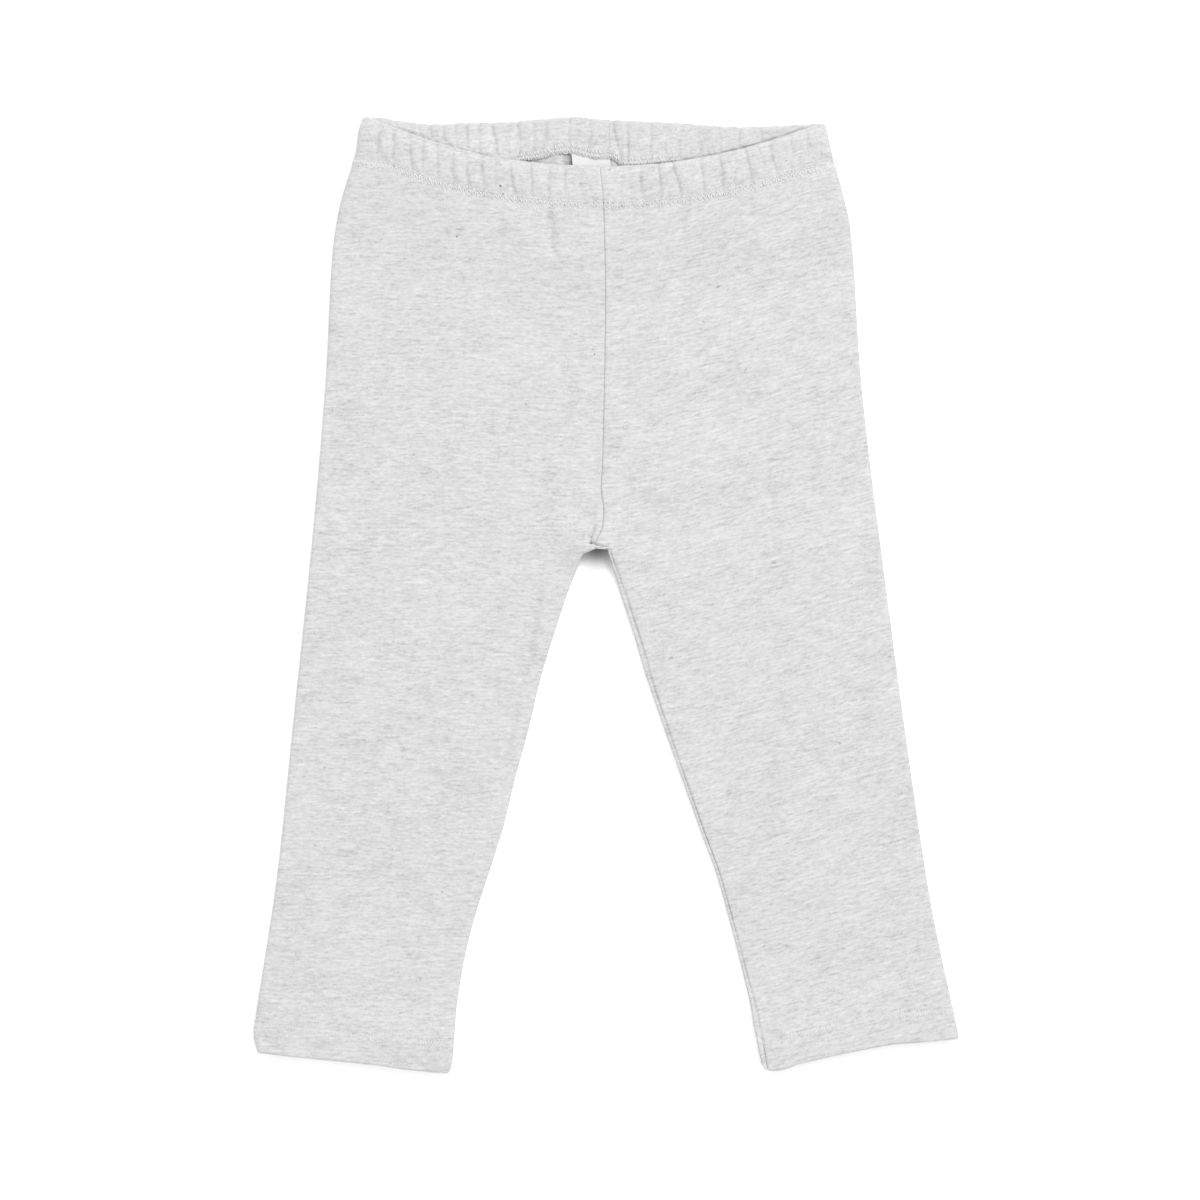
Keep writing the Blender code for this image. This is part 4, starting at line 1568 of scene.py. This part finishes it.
def dress(piece: bpy.types.Object, material: bpy.types.Material) -> None:
    """Gives a piece its material and ties it to the garment."""
    piece.data.materials.append(material)
    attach(piece, "root")
    log.info("%s: %d faces", piece.name, len(piece.data.polygons))


# ---------------------------------------------------------------------------
# The garment's pieces
# ---------------------------------------------------------------------------

LEG_COLUMNS = columns(near=0.42, front=1.25, back=3.0, rim=6, fold=9)
BAND_COLUMNS = columns(near=0.42, front=0.52, back=0.6, rim=3, fold=10)
HEM_COLUMNS = columns(near=0.42, front=0.9, back=1.8, rim=6, fold=9)
SEWN_COLUMNS = columns(near=0.3, front=0.4, back=0.5, rim=3, fold=14)


@dataclass(frozen=True)
class LegPanel:
    """One leg: a single cut panel from the waist casing to the hem.

    `rise_rows` and `leg_rows` are a length with the closest and the widest spacing of
    its rows.  `lining_sink` is how far the cloth's inner face follows a valley.
    """

    form: Form
    crotch_zone_top: float = 33.0
    crotch_zone_low: float = 9.0
    crotch_row: float = 0.42
    notch_depth: float = 10.9
    notch_rows: int = 34
    rise_rows: tuple[float, float, float] = (140.0, 0.75, 1.9)
    leg_rows: tuple[float, float, float] = (207.0, 0.8, 2.1)
    lining_sink: float = -0.45
    thinnest: float = 0.35

    def levels(self) -> Array:
        """Heights of the panel's rows at each column."""
        top = self.form.edge_line(LEG_COLUMNS) - BUILD.casing_height
        low = self.form.hem_line(LEG_COLUMNS) + BUILD.hem_height
        above = np.arange(self.crotch_zone_top, BUILD.crotch_top, -self.crotch_row)
        down = np.linspace(0.0, math.sqrt(self.notch_depth), self.notch_rows)
        below = BUILD.crotch_top - down**2
        rows = []
        for share in crowd(*self.rise_rows)[:-1]:
            rows.append(mix(top, self.crotch_zone_top, share))
        for level in (*above, *below):
            rows.append(np.full_like(top, level))
        for share in 1.0 - crowd(*self.leg_rows)[::-1][1:]:
            rows.append(mix(self.crotch_zone_low, low, share))
        return np.array(rows)

    def build(self, finishes: Finishes) -> bpy.types.Object:
        """Builds the panel and dresses it in jersey."""
        leg = self.form.leg
        skin = self.form.skin(LEG_COLUMNS, self.levels())
        plain = np.maximum(skin.relief, self.lining_sink) - BUILD.cloth
        lining = skin._replace(relief=np.minimum(plain, skin.relief - self.thinnest))
        name = f"{leg.name}_leg_cloth"
        piece = make_shell(name, skin.at(), lining.at(), skin.weave, leg.way > 0)
        dress(piece, finishes.jersey)
        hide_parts(f"{leg.name}_leg")
        return piece


# Lower edge of the casing's inner wall on the back, where it shows above the front
BACK_INSIDE_LOW = curve(
    (-106.0, 192.4), (-44.0, 189.3), (-28.4, 190.8), (-21.3, 193.0), (-14.5, 193.5),
    (-4.5, 191.0), (3.0, 190.8), (6.2, 188.3), (10.0, 187.8), (28.0, 189.1), (95.0, 190.2),
)

# How far the inside of the back stands up to meet the front's edge
BACK_LEAN = curve(
    (-120.0, 2.7), (-84.0, 2.7), (-78.0, 3.2), (-50.0, 3.3), (-43.0, 2.5), (-30.0, 0.0),
    (5.0, 0.0), (8.0, 0.8), (28.0, 0.8), (80.0, -1.0), (95.0, -0.6),
)


@dataclass(frozen=True)
class Turning:
    """A cloth edge turned over inside: its wall, and how its inner layer ends.

    `way` is the direction along Y from the fold into the wall, -1 at the waist and
    1 at a hem.  `lining_sink` is how far the cloth's inner face follows a valley.
    """

    wall: float
    way: int
    pinch: float
    pinch_height: float
    arc_steps: int = 8
    lining_sink: float = -0.2

    def face(
        self,
        form: Form,
        lay: Columns,
        line: Array,
        runs: tuple[Array, Array],
        inner_relief: InnerRelief,
        inset: float,
    ) -> tuple[Array, Array]:
        """Points of one face of the turned cloth.

        Args:
            form: The side of the garment that it belongs to.
            lay: Its columns.
            line: Height of the fold line at each column.
            runs: Distances from the fold line of the outer layer's rows, far to near,
                and of the inner layer's, near to far.
            inner_relief: Relief of the inner layer.
            inset: How deep this face lies in the cloth.

        Returns:
            The rows of points and their places in the knit.
        """
        outer_run, inner_run = runs
        middle = self.wall / 2
        outer = form.skin(lay, line + self.way * outer_run)
        if inset > 0.0:
            outer = outer._replace(relief=np.maximum(outer.relief, self.lining_sink))
        inner = form.skin(lay, line + self.way * inner_run)
        rise = inner_relief(inner, inner_run, inner_run[-1])
        if inset > 0.0:
            rise = np.maximum(rise, self.lining_sink)
        fold = form.skin(lay, (line + self.way * middle)[None])
        centre = fold.base[0] - fold.normal[0] * middle
        along = np.array([0.0, -self.way, 0.0])
        points, places = [outer.at(-inset)], [outer.weave]
        for turn in np.linspace(0.0, math.pi, self.arc_steps + 1)[1:-1]:
            swell = mix(outer.relief[-1], rise[0], (1.0 - math.cos(turn)) / 2)
            swell = swell * (1.0 - 0.75 * math.sin(turn))
            direction = math.sin(turn) * along + math.cos(turn) * fold.normal[0]
            points.append((centre + (middle - inset + swell)[:, None] * direction)[None])
            places.append(fold.weave + np.array([0.0, -self.way * turn * middle, 0.0]))
        depth = self.depth(inner_run, inner_run[-1]) - inset + rise
        points.append(inner.base - inner.normal * depth[..., None])
        places.append(inner.weave + np.array([0.0, 0.0, LAYER_OFFSET]))
        return np.concatenate(points), np.concatenate(places)

    def faces(
        self,
        form: Form,
        lay: Columns,
        line: Array,
        runs: tuple[Array, Array],
        inner_relief: InnerRelief,
    ) -> tuple[Array, Array, Array]:
        """Points of the outer and the inner face, and the outer one's places in the knit."""
        outer, weave = self.face(form, lay, line, runs, inner_relief, 0.0)
        inner, _ = self.face(form, lay, line, runs, inner_relief, BUILD.cloth)
        return outer, inner, weave

    def depth(self, inner_run: Array, end: Array) -> Array:
        """Depth of the inner layer's own face, which is pinched towards its end."""
        squeeze = smooth_step(1.0 - (end - inner_run) / self.pinch_height)
        return self.wall - squeeze * (self.wall - self.pinch)


@dataclass(frozen=True)
class WaistCasing:
    """Half the waist: the panel's top turned down inside over the elastic, and gathered."""

    form: Form
    scallop: float = 0.12
    puff_depth: float = 1.76
    ragged: float = 0.22
    fullness: float = 1.45
    turning: Turning = Turning(wall=BUILD.casing_wall, way=-1, pinch=3.1, pinch_height=2.0)

    def edge(self) -> Array:
        """Height of the top fold at each column, a little scalloped by the gathers."""
        leg, lay = self.form.leg, BAND_COLUMNS
        gathers = front_gathers(leg)

        def front(x: Array) -> Array:
            """Scalloped edge of the front."""
            full = puffs(gathers, x, np.zeros_like(x))
            return front_edge(leg, x) + self.scallop * (full - 0.8)

        def back(x: Array) -> Array:
            """Scalloped edge of the back."""
            full = puffs(BACK_GATHERS, x, np.zeros_like(x))
            return BACK_EDGE.read(x) + self.scallop * (full - 0.8)

        return self.form.line(lay, front, back, BUILD.waist_level)

    def inner_end(self, line: Array) -> Array:
        """How far the inner layer reaches below the top fold at each column."""
        lay = BAND_COLUMNS
        count = len(lay.back_turn)
        y_back = line[-count:]
        x_back = self.form.across(Face.BACK, lay.back_turn, lay.back_share, y_back)
        reach = np.full_like(line, BUILD.casing_height)
        reach[-count:] = y_back - BACK_INSIDE_LOW.read(x_back)
        reach[-count:] += self.ragged * ripple(x_back, x_back, 29, 4.0)
        return reach

    def inner_relief(self, skin: Skin, run: Array, end: Array) -> Array:
        """Puffs of the inner layer, only where the back shows above the front.

        Args:
            skin: The outer surface behind the points.
            run: Distances of the points from the top fold.
            end: Distance at which the layer ends.

        Returns:
            How far the layer stands off its plain form, in millimetres.
        """
        x, y = skin.base[..., 0], skin.base[..., 1]
        back = smooth_step(-skin.normal[..., 2] * 2.0)
        above = y - front_edge(self.form.leg, x)
        shows = smooth_step((above + 0.1) / 1.2)
        down = run / end
        full = puffs(BACK_GATHERS, x, down)
        held = 0.35 + 0.65 * smooth_step((1.02 - down) / 0.30)
        pucker = np.sin(math.tau * x / 2.3 + 1.9 * np.sin(x / 4.7) + 0.5 * y)
        rows = np.exp(-(((down - 0.78) / 0.18) ** 2))
        relief = self.puff_depth * (full - 0.45) * held + 0.18 * pucker * rows
        relief += 0.10 * ripple(x, y, 41, 14.0)
        # the back stands up against the front's edge, so that no gap shows there
        lean = smooth_step((above + 1.4) / 1.3) * np.exp(-np.maximum(above, 0.0) / 6.5)
        lean *= BACK_LEAN.read(x) * (1.0 + 0.06 * ripple(x, y, 53, 16.0))
        return (relief * shows + lean) * back

    def inside(self, x: Array, y: Array, lift: float) -> Path:
        """Points a height above the inner layer of the back, and the normals there."""
        skin = self.form.flat(Face.BACK, x, y)
        line = BACK_EDGE.read(x)
        end = line - BACK_INSIDE_LOW.read(x)
        depth = self.turning.depth(line - y, end) + self.inner_relief(skin, line - y, end)
        return Path(skin.base - skin.normal * (depth + lift)[..., None], -skin.normal)

    def build(self, finishes: Finishes) -> bpy.types.Object:
        """Builds this half of the casing and dresses it in jersey."""
        leg = self.form.leg
        line = self.edge()
        wall = BUILD.casing_wall
        outer_run = np.linspace(BUILD.casing_height, wall / 2, 24)
        outer_run = outer_run[:, None] * np.ones_like(line)
        end = self.inner_end(line)
        inner_run = mix(wall / 2, end, np.linspace(0.0, 1.0, 40)[:, None])
        runs = (outer_run, inner_run)
        outer, inner, weave = self.turning.faces(
            self.form, BAND_COLUMNS, line, runs, self.inner_relief
        )
        weave = weave * np.array([self.fullness, 1.0, 1.0])
        name = f"waistband_{leg.name}_cloth"
        piece = make_shell(name, outer, inner, weave, leg.way < 0)
        dress(piece, finishes.jersey)
        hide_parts(f"waistband_{leg.name}")
        return piece


@dataclass(frozen=True)
class TurnedHem:
    """End of a leg, with its edge turned up inside."""

    form: Form
    turning: Turning = Turning(wall=BUILD.hem_wall, way=1, pinch=BUILD.hem_wall, pinch_height=1.0)

    @staticmethod
    def flat(skin: Skin, run: Array, end: Array) -> Array:
        """The inner layer of a hem lies plain."""
        return np.zeros_like(run)

    def build(self, finishes: Finishes) -> bpy.types.Object:
        """Builds the hem and dresses it in jersey."""
        leg = self.form.leg
        line = self.form.hem_line(HEM_COLUMNS)
        ones = np.ones_like(line)
        outer_run = np.linspace(BUILD.hem_height, BUILD.hem_wall / 2, 13)[:, None] * ones
        inner_run = np.linspace(BUILD.hem_wall / 2, BUILD.hem_height, 10)[:, None] * ones
        runs = (outer_run, inner_run)
        outer, inner, weave = self.turning.faces(self.form, HEM_COLUMNS, line, runs, self.flat)
        name = f"{leg.name}_hem_cloth"
        piece = make_shell(name, outer, inner, weave, leg.way > 0)
        dress(piece, finishes.jersey)
        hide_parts(f"{leg.name}_hem")
        return piece


@dataclass(frozen=True)
class CareLabel:
    """Bare satin tape folded in half, hanging inside the back from the casing."""

    left: float = -15.3
    right: float = 1.5
    top: float = 194.6
    low: float = 167.4
    level: float = 2.3
    gap: float = 0.42
    ply: float = 0.3
    slant: float = 0.11

    def section(self, inset: float) -> Array:
        """Y and Z of the folded tape, down the upper ply and up the lower one."""
        half = self.gap / 2 + self.ply / 2 - inset
        middle = self.level + self.ply / 2
        run = np.linspace(self.top, self.low + half, 26)
        upper = np.stack([run, np.full_like(run, middle + half)], 1)
        turn = np.linspace(0.0, math.pi, 7)[1:-1]
        bend = np.stack([self.low + half - half * np.sin(turn), middle + half * np.cos(turn)], 1)
        lower = np.stack([run[::-1], np.full_like(run, middle - half)], 1)
        return np.concatenate([upper, bend, lower])

    def face(self, inset: float) -> Array:
        """Points of one face of the tape."""
        section = self.section(inset)
        across = np.linspace(self.left, self.right, 24)
        x = across + self.slant * (self.top - section[:, :1])
        y = np.repeat(section[:, :1], len(across), 1)
        z = np.repeat(section[:, 1:], len(across), 1)
        z = z + 0.10 * np.sin(x / 3.1 + 0.6) * smooth_step((y - self.low) / 6.0)
        return np.stack([x, y, z], -1)

    def build(self, finishes: Finishes) -> bpy.types.Object:
        """Builds the label and dresses it in satin tape."""
        outer, inner = self.face(0.0), self.face(self.ply)
        piece = make_shell("care_label_tape", outer, inner, outer, False)
        dress(piece, finishes.tape)
        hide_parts("care_label")
        return piece


@dataclass(frozen=True)
class InnerEdge:
    """A soft cut edge of jersey that peeps out below the back casing, inside.

    `height` and `shade` are read across it: how high it stands, and how deep in painted shade.
    """

    name: str
    top: float
    low: float
    height: Curve
    shade: Curve
    thickness: float = 0.8

    def face(self, inset: float) -> Array:
        """Points of one face, crowned across."""
        left, right = self.height.points[0].at, self.height.points[-1].at
        side = 0.6 * inset
        across = np.linspace(left + side, right - side, 33)
        down = np.linspace(0.0, 1.0, 22)[:, None]
        x = across + 0.25 * np.sin(9.0 * down + left)
        y = mix(self.top, self.low, down) + 0.0 * across
        z = self.height.read(across) - inset + 0.12 * np.sin(5.0 * down + 0.8 * across)
        return np.stack([x, y, z], -1)

    def build(self, finishes: Finishes) -> bpy.types.Object:
        """Builds the edge and dresses it in jersey."""
        outer, inner = self.face(0.0), self.face(self.thickness)
        weave = outer + np.array([0.0, 0.0, EDGE_OFFSET])
        # painted shade, read across the edge
        shade = self.shade.read(outer[..., 0])
        piece = make_shell(self.name, outer, inner, weave, True, shade)
        dress(piece, finishes.jersey)
        return piece


@dataclass(frozen=True)
class CoverStitch:
    """Cover stitch round the garment: straight needle rows with thread crossing between.

    `rows` are the needle rows' distances from the folded edge, `pitch` the spacing of their
    stitches.
    """

    form: Form
    rows: tuple[float, float]
    pitch: float
    cross_pitch: float
    shown: float
    lift: float = 0.02
    uneven: float = 0.12

    def path(self, line: Array, way: int, run: float) -> Path:
        """The line on the cloth at a distance from the folded edge."""
        y = (line + way * run)[None]
        skin = self.form.skin(SEWN_COLUMNS, y)
        return Path(skin.at(self.lift)[0], skin.normal[0])

    def stitches(self, line: Array, way: int) -> list[Stitches]:
        """The stitches of both rows and of the thread between them.

        Args:
            line: Height of the folded edge at each column.
            way: Direction along Y from the edge to the rows.

        Returns:
            The runs of stitches.
        """
        found = []
        draw = np.random.default_rng(17)
        for row in self.rows:
            path = self.path(line, way, row)
            along = path.walk(self.pitch)
            along = along + self.uneven * draw.normal(size=len(along))
            reach = self.pitch * draw.uniform(0.26, 0.40, len(along))
            start, end = path.at(along - reach), path.at(along + reach)
            sway = start.point.copy()
            sway[:, 1] += self.uneven * draw.normal(size=len(along))
            found.append(self.seen(Stitches(sway, end.point, start.normal), self.shown))
        upper = self.path(line, way, self.rows[0] + 0.25)
        lower = self.path(line, way, self.rows[1] - 0.25)
        along = upper.walk(self.cross_pitch)
        along = along + self.uneven * draw.normal(size=len(along))
        scale = lower.walk(0.1)[-1] / upper.walk(0.1)[-1]
        half = 0.5 * self.cross_pitch
        for start, end in ((along - half, along), (along + half * 0.9, along)):
            start = start + 1.5 * self.uneven * draw.normal(size=len(along))
            low, high = lower.at(start * scale), upper.at(end)
            found.append(self.seen(Stitches(low.point, high.point, low.normal), self.shown + 0.2))
        return found

    @staticmethod
    def seen(run: Stitches, share: float) -> Stitches:
        """The stitches that stand up from the nap, the others being drawn into it."""
        x, y = run.start[:, 0], run.start[:, 1]
        patch = 0.5 + 0.32 * ripple(x, y, 61, 22.0)
        fine = np.random.default_rng(len(x)).uniform(-0.25, 0.25, len(x))
        kept = patch + fine < share
        return Stitches(run.start[kept], run.end[kept], run.normal[kept])


@dataclass(frozen=True)
class Sewing:
    """All the thread that shows."""

    waist_rows: tuple[float, float] = (15.8, 18.7)
    hem_rows: tuple[float, float] = (11.0, 14.5)
    inside_pitch: float = 1.5
    stray_count: int = 90
    right_drop: float = 2.4
    left_drop: float = 1.4
    # sunk is the strength of the painted shade at the stitches' needle holes
    thread: Thread = Thread(radius=0.25, arch=0.24, sunk=0.75)
    hem_thread: Thread = Thread(radius=0.14, arch=0.08, sunk=1.3)
    looper_thread: Thread = Thread(radius=0.25, arch=0.32, sunk=0.9)

    def drop(self, form: Form) -> Array:
        """How far the waist stitching sinks further below the edge near the side folds."""
        lay = SEWN_COLUMNS
        share = np.concatenate([lay.front_share, np.ones(len(lay.fold)), lay.back_share])
        most = self.right_drop if form.leg.side is Side.RIGHT else self.left_drop
        return most * smooth_step((share - 0.84) / 0.16)

    def build(self, finishes: Finishes) -> list[bpy.types.Object]:
        """Builds the thread of the waist and the hems and dresses it."""
        pieces = []
        waist: list[Stitches] = []
        for form in FORMS:
            rows = CoverStitch(form, self.waist_rows, 1.76, 2.3, shown=0.92)
            waist += rows.stitches(form.edge_line(SEWN_COLUMNS) - self.drop(form), -1)
            hem = CoverStitch(form, self.hem_rows, 1.6, 1.5, shown=0.55)
            stitches = hem.stitches(form.hem_line(SEWN_COLUMNS), 1)
            pieces.append(self.hem_thread.sew(f"{form.leg.name}_hem_stitching", stitches))
        waist.append(self.strays(FORMS[0]))
        pieces.append(self.thread.sew("waist_stitching", waist))
        pieces.append(self.looper_thread.sew("back_casing_stitching", self.inside_rows()))
        for piece in pieces:
            dress(piece, finishes.thread)
        return pieces

    def strays(self, form: Form) -> Stitches:
        """Loose loops that lie in patches below the lower row on the right front."""
        draw = np.random.default_rng(83)
        x = draw.uniform(-62.0, -18.0, self.stray_count)
        y = front_edge(form.leg, x) - self.waist_rows[1] - draw.uniform(0.8, 4.0, len(x))
        turn = draw.uniform(0.9, 2.2, len(x))
        half = draw.uniform(0.3, 0.55, len(x))
        ends = []
        for way in (-half, half):
            skin = form.flat(
                Face.FRONT, (x + way * np.cos(turn))[None], (y + way * np.sin(turn))[None]
            )
            ends.append(skin)
        start, end = ends
        run = Stitches(start.at(0.02)[0], end.at(0.02)[0], start.normal[0])
        return CoverStitch.seen(run, 0.55)

    def inside_rows(self) -> list[Stitches]:
        """The looper's zigzag inside the back, along the casing's lower edge."""
        found = []
        draw = np.random.default_rng(5)
        for form in FORMS:
            way = form.leg.way
            casing = WaistCasing(form)
            x = np.arange(1.0, 92.0, self.inside_pitch)
            x = way * x + draw.uniform(-0.2, 0.2, len(x))
            x = x[BACK_INSIDE_LOW.read(x) > front_edge(form.leg, x) - 0.9]
            low = BACK_INSIDE_LOW.read(x)
            for near, far, shift in ((0.3, 2.2, 0.5), (2.2, 0.3, 0.5), (2.3, 4.2, 0.4)):
                sway = draw.uniform(-0.25, 0.25, (3, len(x)))
                start_x, end_x = x + sway[0], x + shift * self.inside_pitch * way + sway[1]
                if near > far:
                    start_x, end_x = end_x, start_x + self.inside_pitch * way
                start = casing.inside(start_x, low + near + sway[2], 0.1)
                end = casing.inside(end_x, low + far - sway[2], 0.1)
                found.append(Stitches(start.point, end.point, start.normal))
        return found


class Nep(NamedTuple):
    """A small knot of dark fibres in the cloth: its place and its size."""

    x: float
    y: float
    size: float


NEPS = (
    Nep(-46.3, 178.7, 1.0),
    Nep(-45.2, 175.4, 0.55),
    Nep(-5.0, 105.0, 0.6),
    Nep(-65.4, 156.8, 0.5),
)


def build_neps(finishes: Finishes) -> bpy.types.Object:
    """The stray knots of dark fibre on the right front, a few crossing hairs each."""
    form, hairs = FORMS[0], 4
    draw = np.random.default_rng(71)
    size = np.repeat([nep.size for nep in NEPS], hairs)
    centre = np.repeat([[nep.x, nep.y] for nep in NEPS], hairs, 0)
    turn = draw.uniform(-0.6, 2.4, len(size))
    span = 0.42 * size[:, None] * np.stack([np.cos(turn), np.sin(turn)], 1)
    centre = centre + 0.16 * size[:, None] * draw.normal(size=centre.shape)
    ends = []
    for place in (centre - span, centre + span):
        skin = form.flat(Face.FRONT, place[:, :1], place[:, 1:])
        ends.append((skin.at(0.06)[:, 0], skin.normal[:, 0]))
    (start, normal), (end, _) = ends
    piece = Thread(radius=0.17, arch=0.12).sew("fibre_neps", [Stitches(start, end, normal)])
    dress(piece, finishes.dark_fibre)
    return piece


FORMS = (Form(RIGHT), Form(LEFT))
# the `shade` curves below are painted shade
INNER_EDGES = (
    InnerEdge(
        "back_seam_allowance",
        top=194.0,
        low=168.0,
        height=curve((0.6, 1.2), (2.0, 2.1), (3.6, 2.7), (5.2, 2.5), (7.2, 1.3)),
        shade=curve((0.6, 0.3), (2.2, 0.0), (5.0, 0.0), (7.2, 0.3)),
    ),
    InnerEdge(
        "casing_cut_edge",
        top=194.0,
        low=186.0,
        height=curve(
            (-38.0, 2.6), (-30.0, 2.6), (-24.0, 2.4), (-20.5, 2.5), (-17.6, 1.7), (-15.0, 1.0)
        ),
        shade=curve(
            (-38.0, 0.1), (-29.0, 0.15), (-23.5, 0.1), (-20.0, 0.0), (-17.8, 0.4), (-15.0, 0.6)
        ),
    ),
)


# ---------------------------------------------------------------------------
# Studio
# ---------------------------------------------------------------------------


@dataclass(frozen=True)
class Studio:
    """Camera straight overhead, soft light from beyond the left hip, pale floor."""

    view_width: float = 528.0
    centre_x: float = -2.6
    centre_y: float = -2.86
    camera_height: float = 3.0
    sensor: float = 36.0
    sky: float = 0.775
    key_power: float = 46.0
    floor_tone: float = 0.9
    floor_seen: float = 1.45
    # painted shadow on the floor under the crotch: its centre, reach, strength and colour
    notch_x: float = -3.6
    notch_y: float = 20.6
    notch_reach: float = 10.2
    notch_shadow_strength: float = 0.86
    notch_shadow_tone: float = 0.02
    floor_reach: float = 3000.0
    floor_level: float = -0.4
    key_place: tuple[float, float, float] = (1.1, 1.95, 2.9)
    key_size: float = 1.2

    def camera(self) -> None:
        """The camera, looking straight down with the waist at the top of the view."""
        data = bpy.data.cameras.new("overhead")
        data.sensor_width = self.sensor
        data.lens = self.sensor * self.camera_height / (self.view_width * MM)
        data.clip_end = 20.0
        camera = bpy.data.objects.new("overhead", data)
        camera.location = (self.centre_x * MM, self.centre_y * MM, self.camera_height)
        bpy.context.scene.collection.objects.link(camera)
        bpy.context.scene.camera = camera

    @staticmethod
    def soft_box(name: str, place: tuple[float, float, float], size: float, power: float) -> None:
        """A square soft box that faces the garment, at a place in metres."""
        data = bpy.data.lights.new(name, "AREA")
        data.shape = "SQUARE"
        data.size = size
        data.energy = power
        lamp = bpy.data.objects.new(name, data)
        lamp.location = place
        lamp.rotation_euler = (-lamp.location).to_track_quat("-Z", "Y").to_euler()
        bpy.context.scene.collection.objects.link(lamp)

    def sky_light(self) -> None:
        """Even light from all round, which the camera sees as white."""
        world = bpy.data.worlds.new("studio")
        bpy.context.scene.world = world
        world.use_nodes = True
        graph = Graph(world.node_tree)
        added = graph.math("MULTIPLY", graph.seen(), 1.0 - self.sky)
        strength = graph.math("ADD", added, self.sky)
        light = graph.add("Background", Color=grey(1.0), Strength=strength)
        output = graph.add("OutputWorld")
        graph.put(output.inputs["Surface"], light.outputs[0])

    def floor(self) -> None:
        """The table top, which the camera sees as white but for the garment's shadow, with a
        painted shadow under the crotch.
        """
        corners = np.array([[-1, -1, 0], [1, -1, 0], [1, 1, 0], [-1, 1, 0]]) * self.floor_reach
        corners[:, 2] = self.floor_level
        mesh = new_mesh("table_top", corners, np.array([[0, 1, 2, 3]]))
        floor = link("table_top", mesh)
        material = bpy.data.materials.new("table_top")
        material.use_nodes = True
        graph = Graph(material.node_tree)
        colour = graph.blend(graph.seen(), grey(self.floor_tone), grey(self.floor_seen))
        surface = graph.add("BsdfDiffuse", Color=self.painted_notch_shadow(graph, colour))
        output = graph.add("OutputMaterial")
        graph.put(output.inputs["Surface"], surface.outputs[0])
        floor.data.materials.append(material)

    def painted_notch_shadow(self, graph: Graph, colour: Socket) -> Socket:
        """The floor's colour with a painted contact shadow under the crotch."""
        place = graph.add("TexCoord").outputs["Object"]
        centre = (self.notch_x * MM, self.notch_y * MM, 0.0)
        away = graph.add("VectorMath", {"operation": "DISTANCE"}, Vector=place)
        graph.put(away.inputs[1], centre)
        share = graph.math("DIVIDE", away.outputs["Value"], self.notch_reach * MM)
        square = graph.math("MULTIPLY", share, share)
        shade = graph.math("EXPONENT", graph.math("MULTIPLY", square, -1.0))
        amount = graph.math("MULTIPLY", shade, self.notch_shadow_strength)
        return graph.blend(amount, colour, grey(self.notch_shadow_tone))

    def build(self) -> None:
        """Sets up the studio and the plain view settings."""
        self.camera()
        self.soft_box("key_box", self.key_place, self.key_size, self.key_power)
        self.sky_light()
        self.floor()
        bpy.context.scene.view_settings.view_transform = "Standard"


def main() -> None:
    """Builds the garment in its frame, then the studio."""
    logging.basicConfig(level=logging.INFO, format="%(name)s %(message)s")
    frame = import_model()
    finishes = Finishes()
    pieces: list[bpy.types.Object] = []
    for form in FORMS:
        pieces.append(LegPanel(form).build(finishes))
        pieces.append(WaistCasing(form).build(finishes))
        pieces.append(TurnedHem(form).build(finishes))
    pieces.append(CareLabel().build(finishes))
    for edge in INNER_EDGES:
        pieces.append(edge.build(finishes))
    pieces += Sewing().build(finishes)
    pieces.append(build_neps(finishes))
    elastic = frame["nodes"]["waist_elastic"]
    for slot in elastic.material_slots:
        slot.material = finishes.elastic
    Studio().build()


if __name__ == "__main__":
    main()
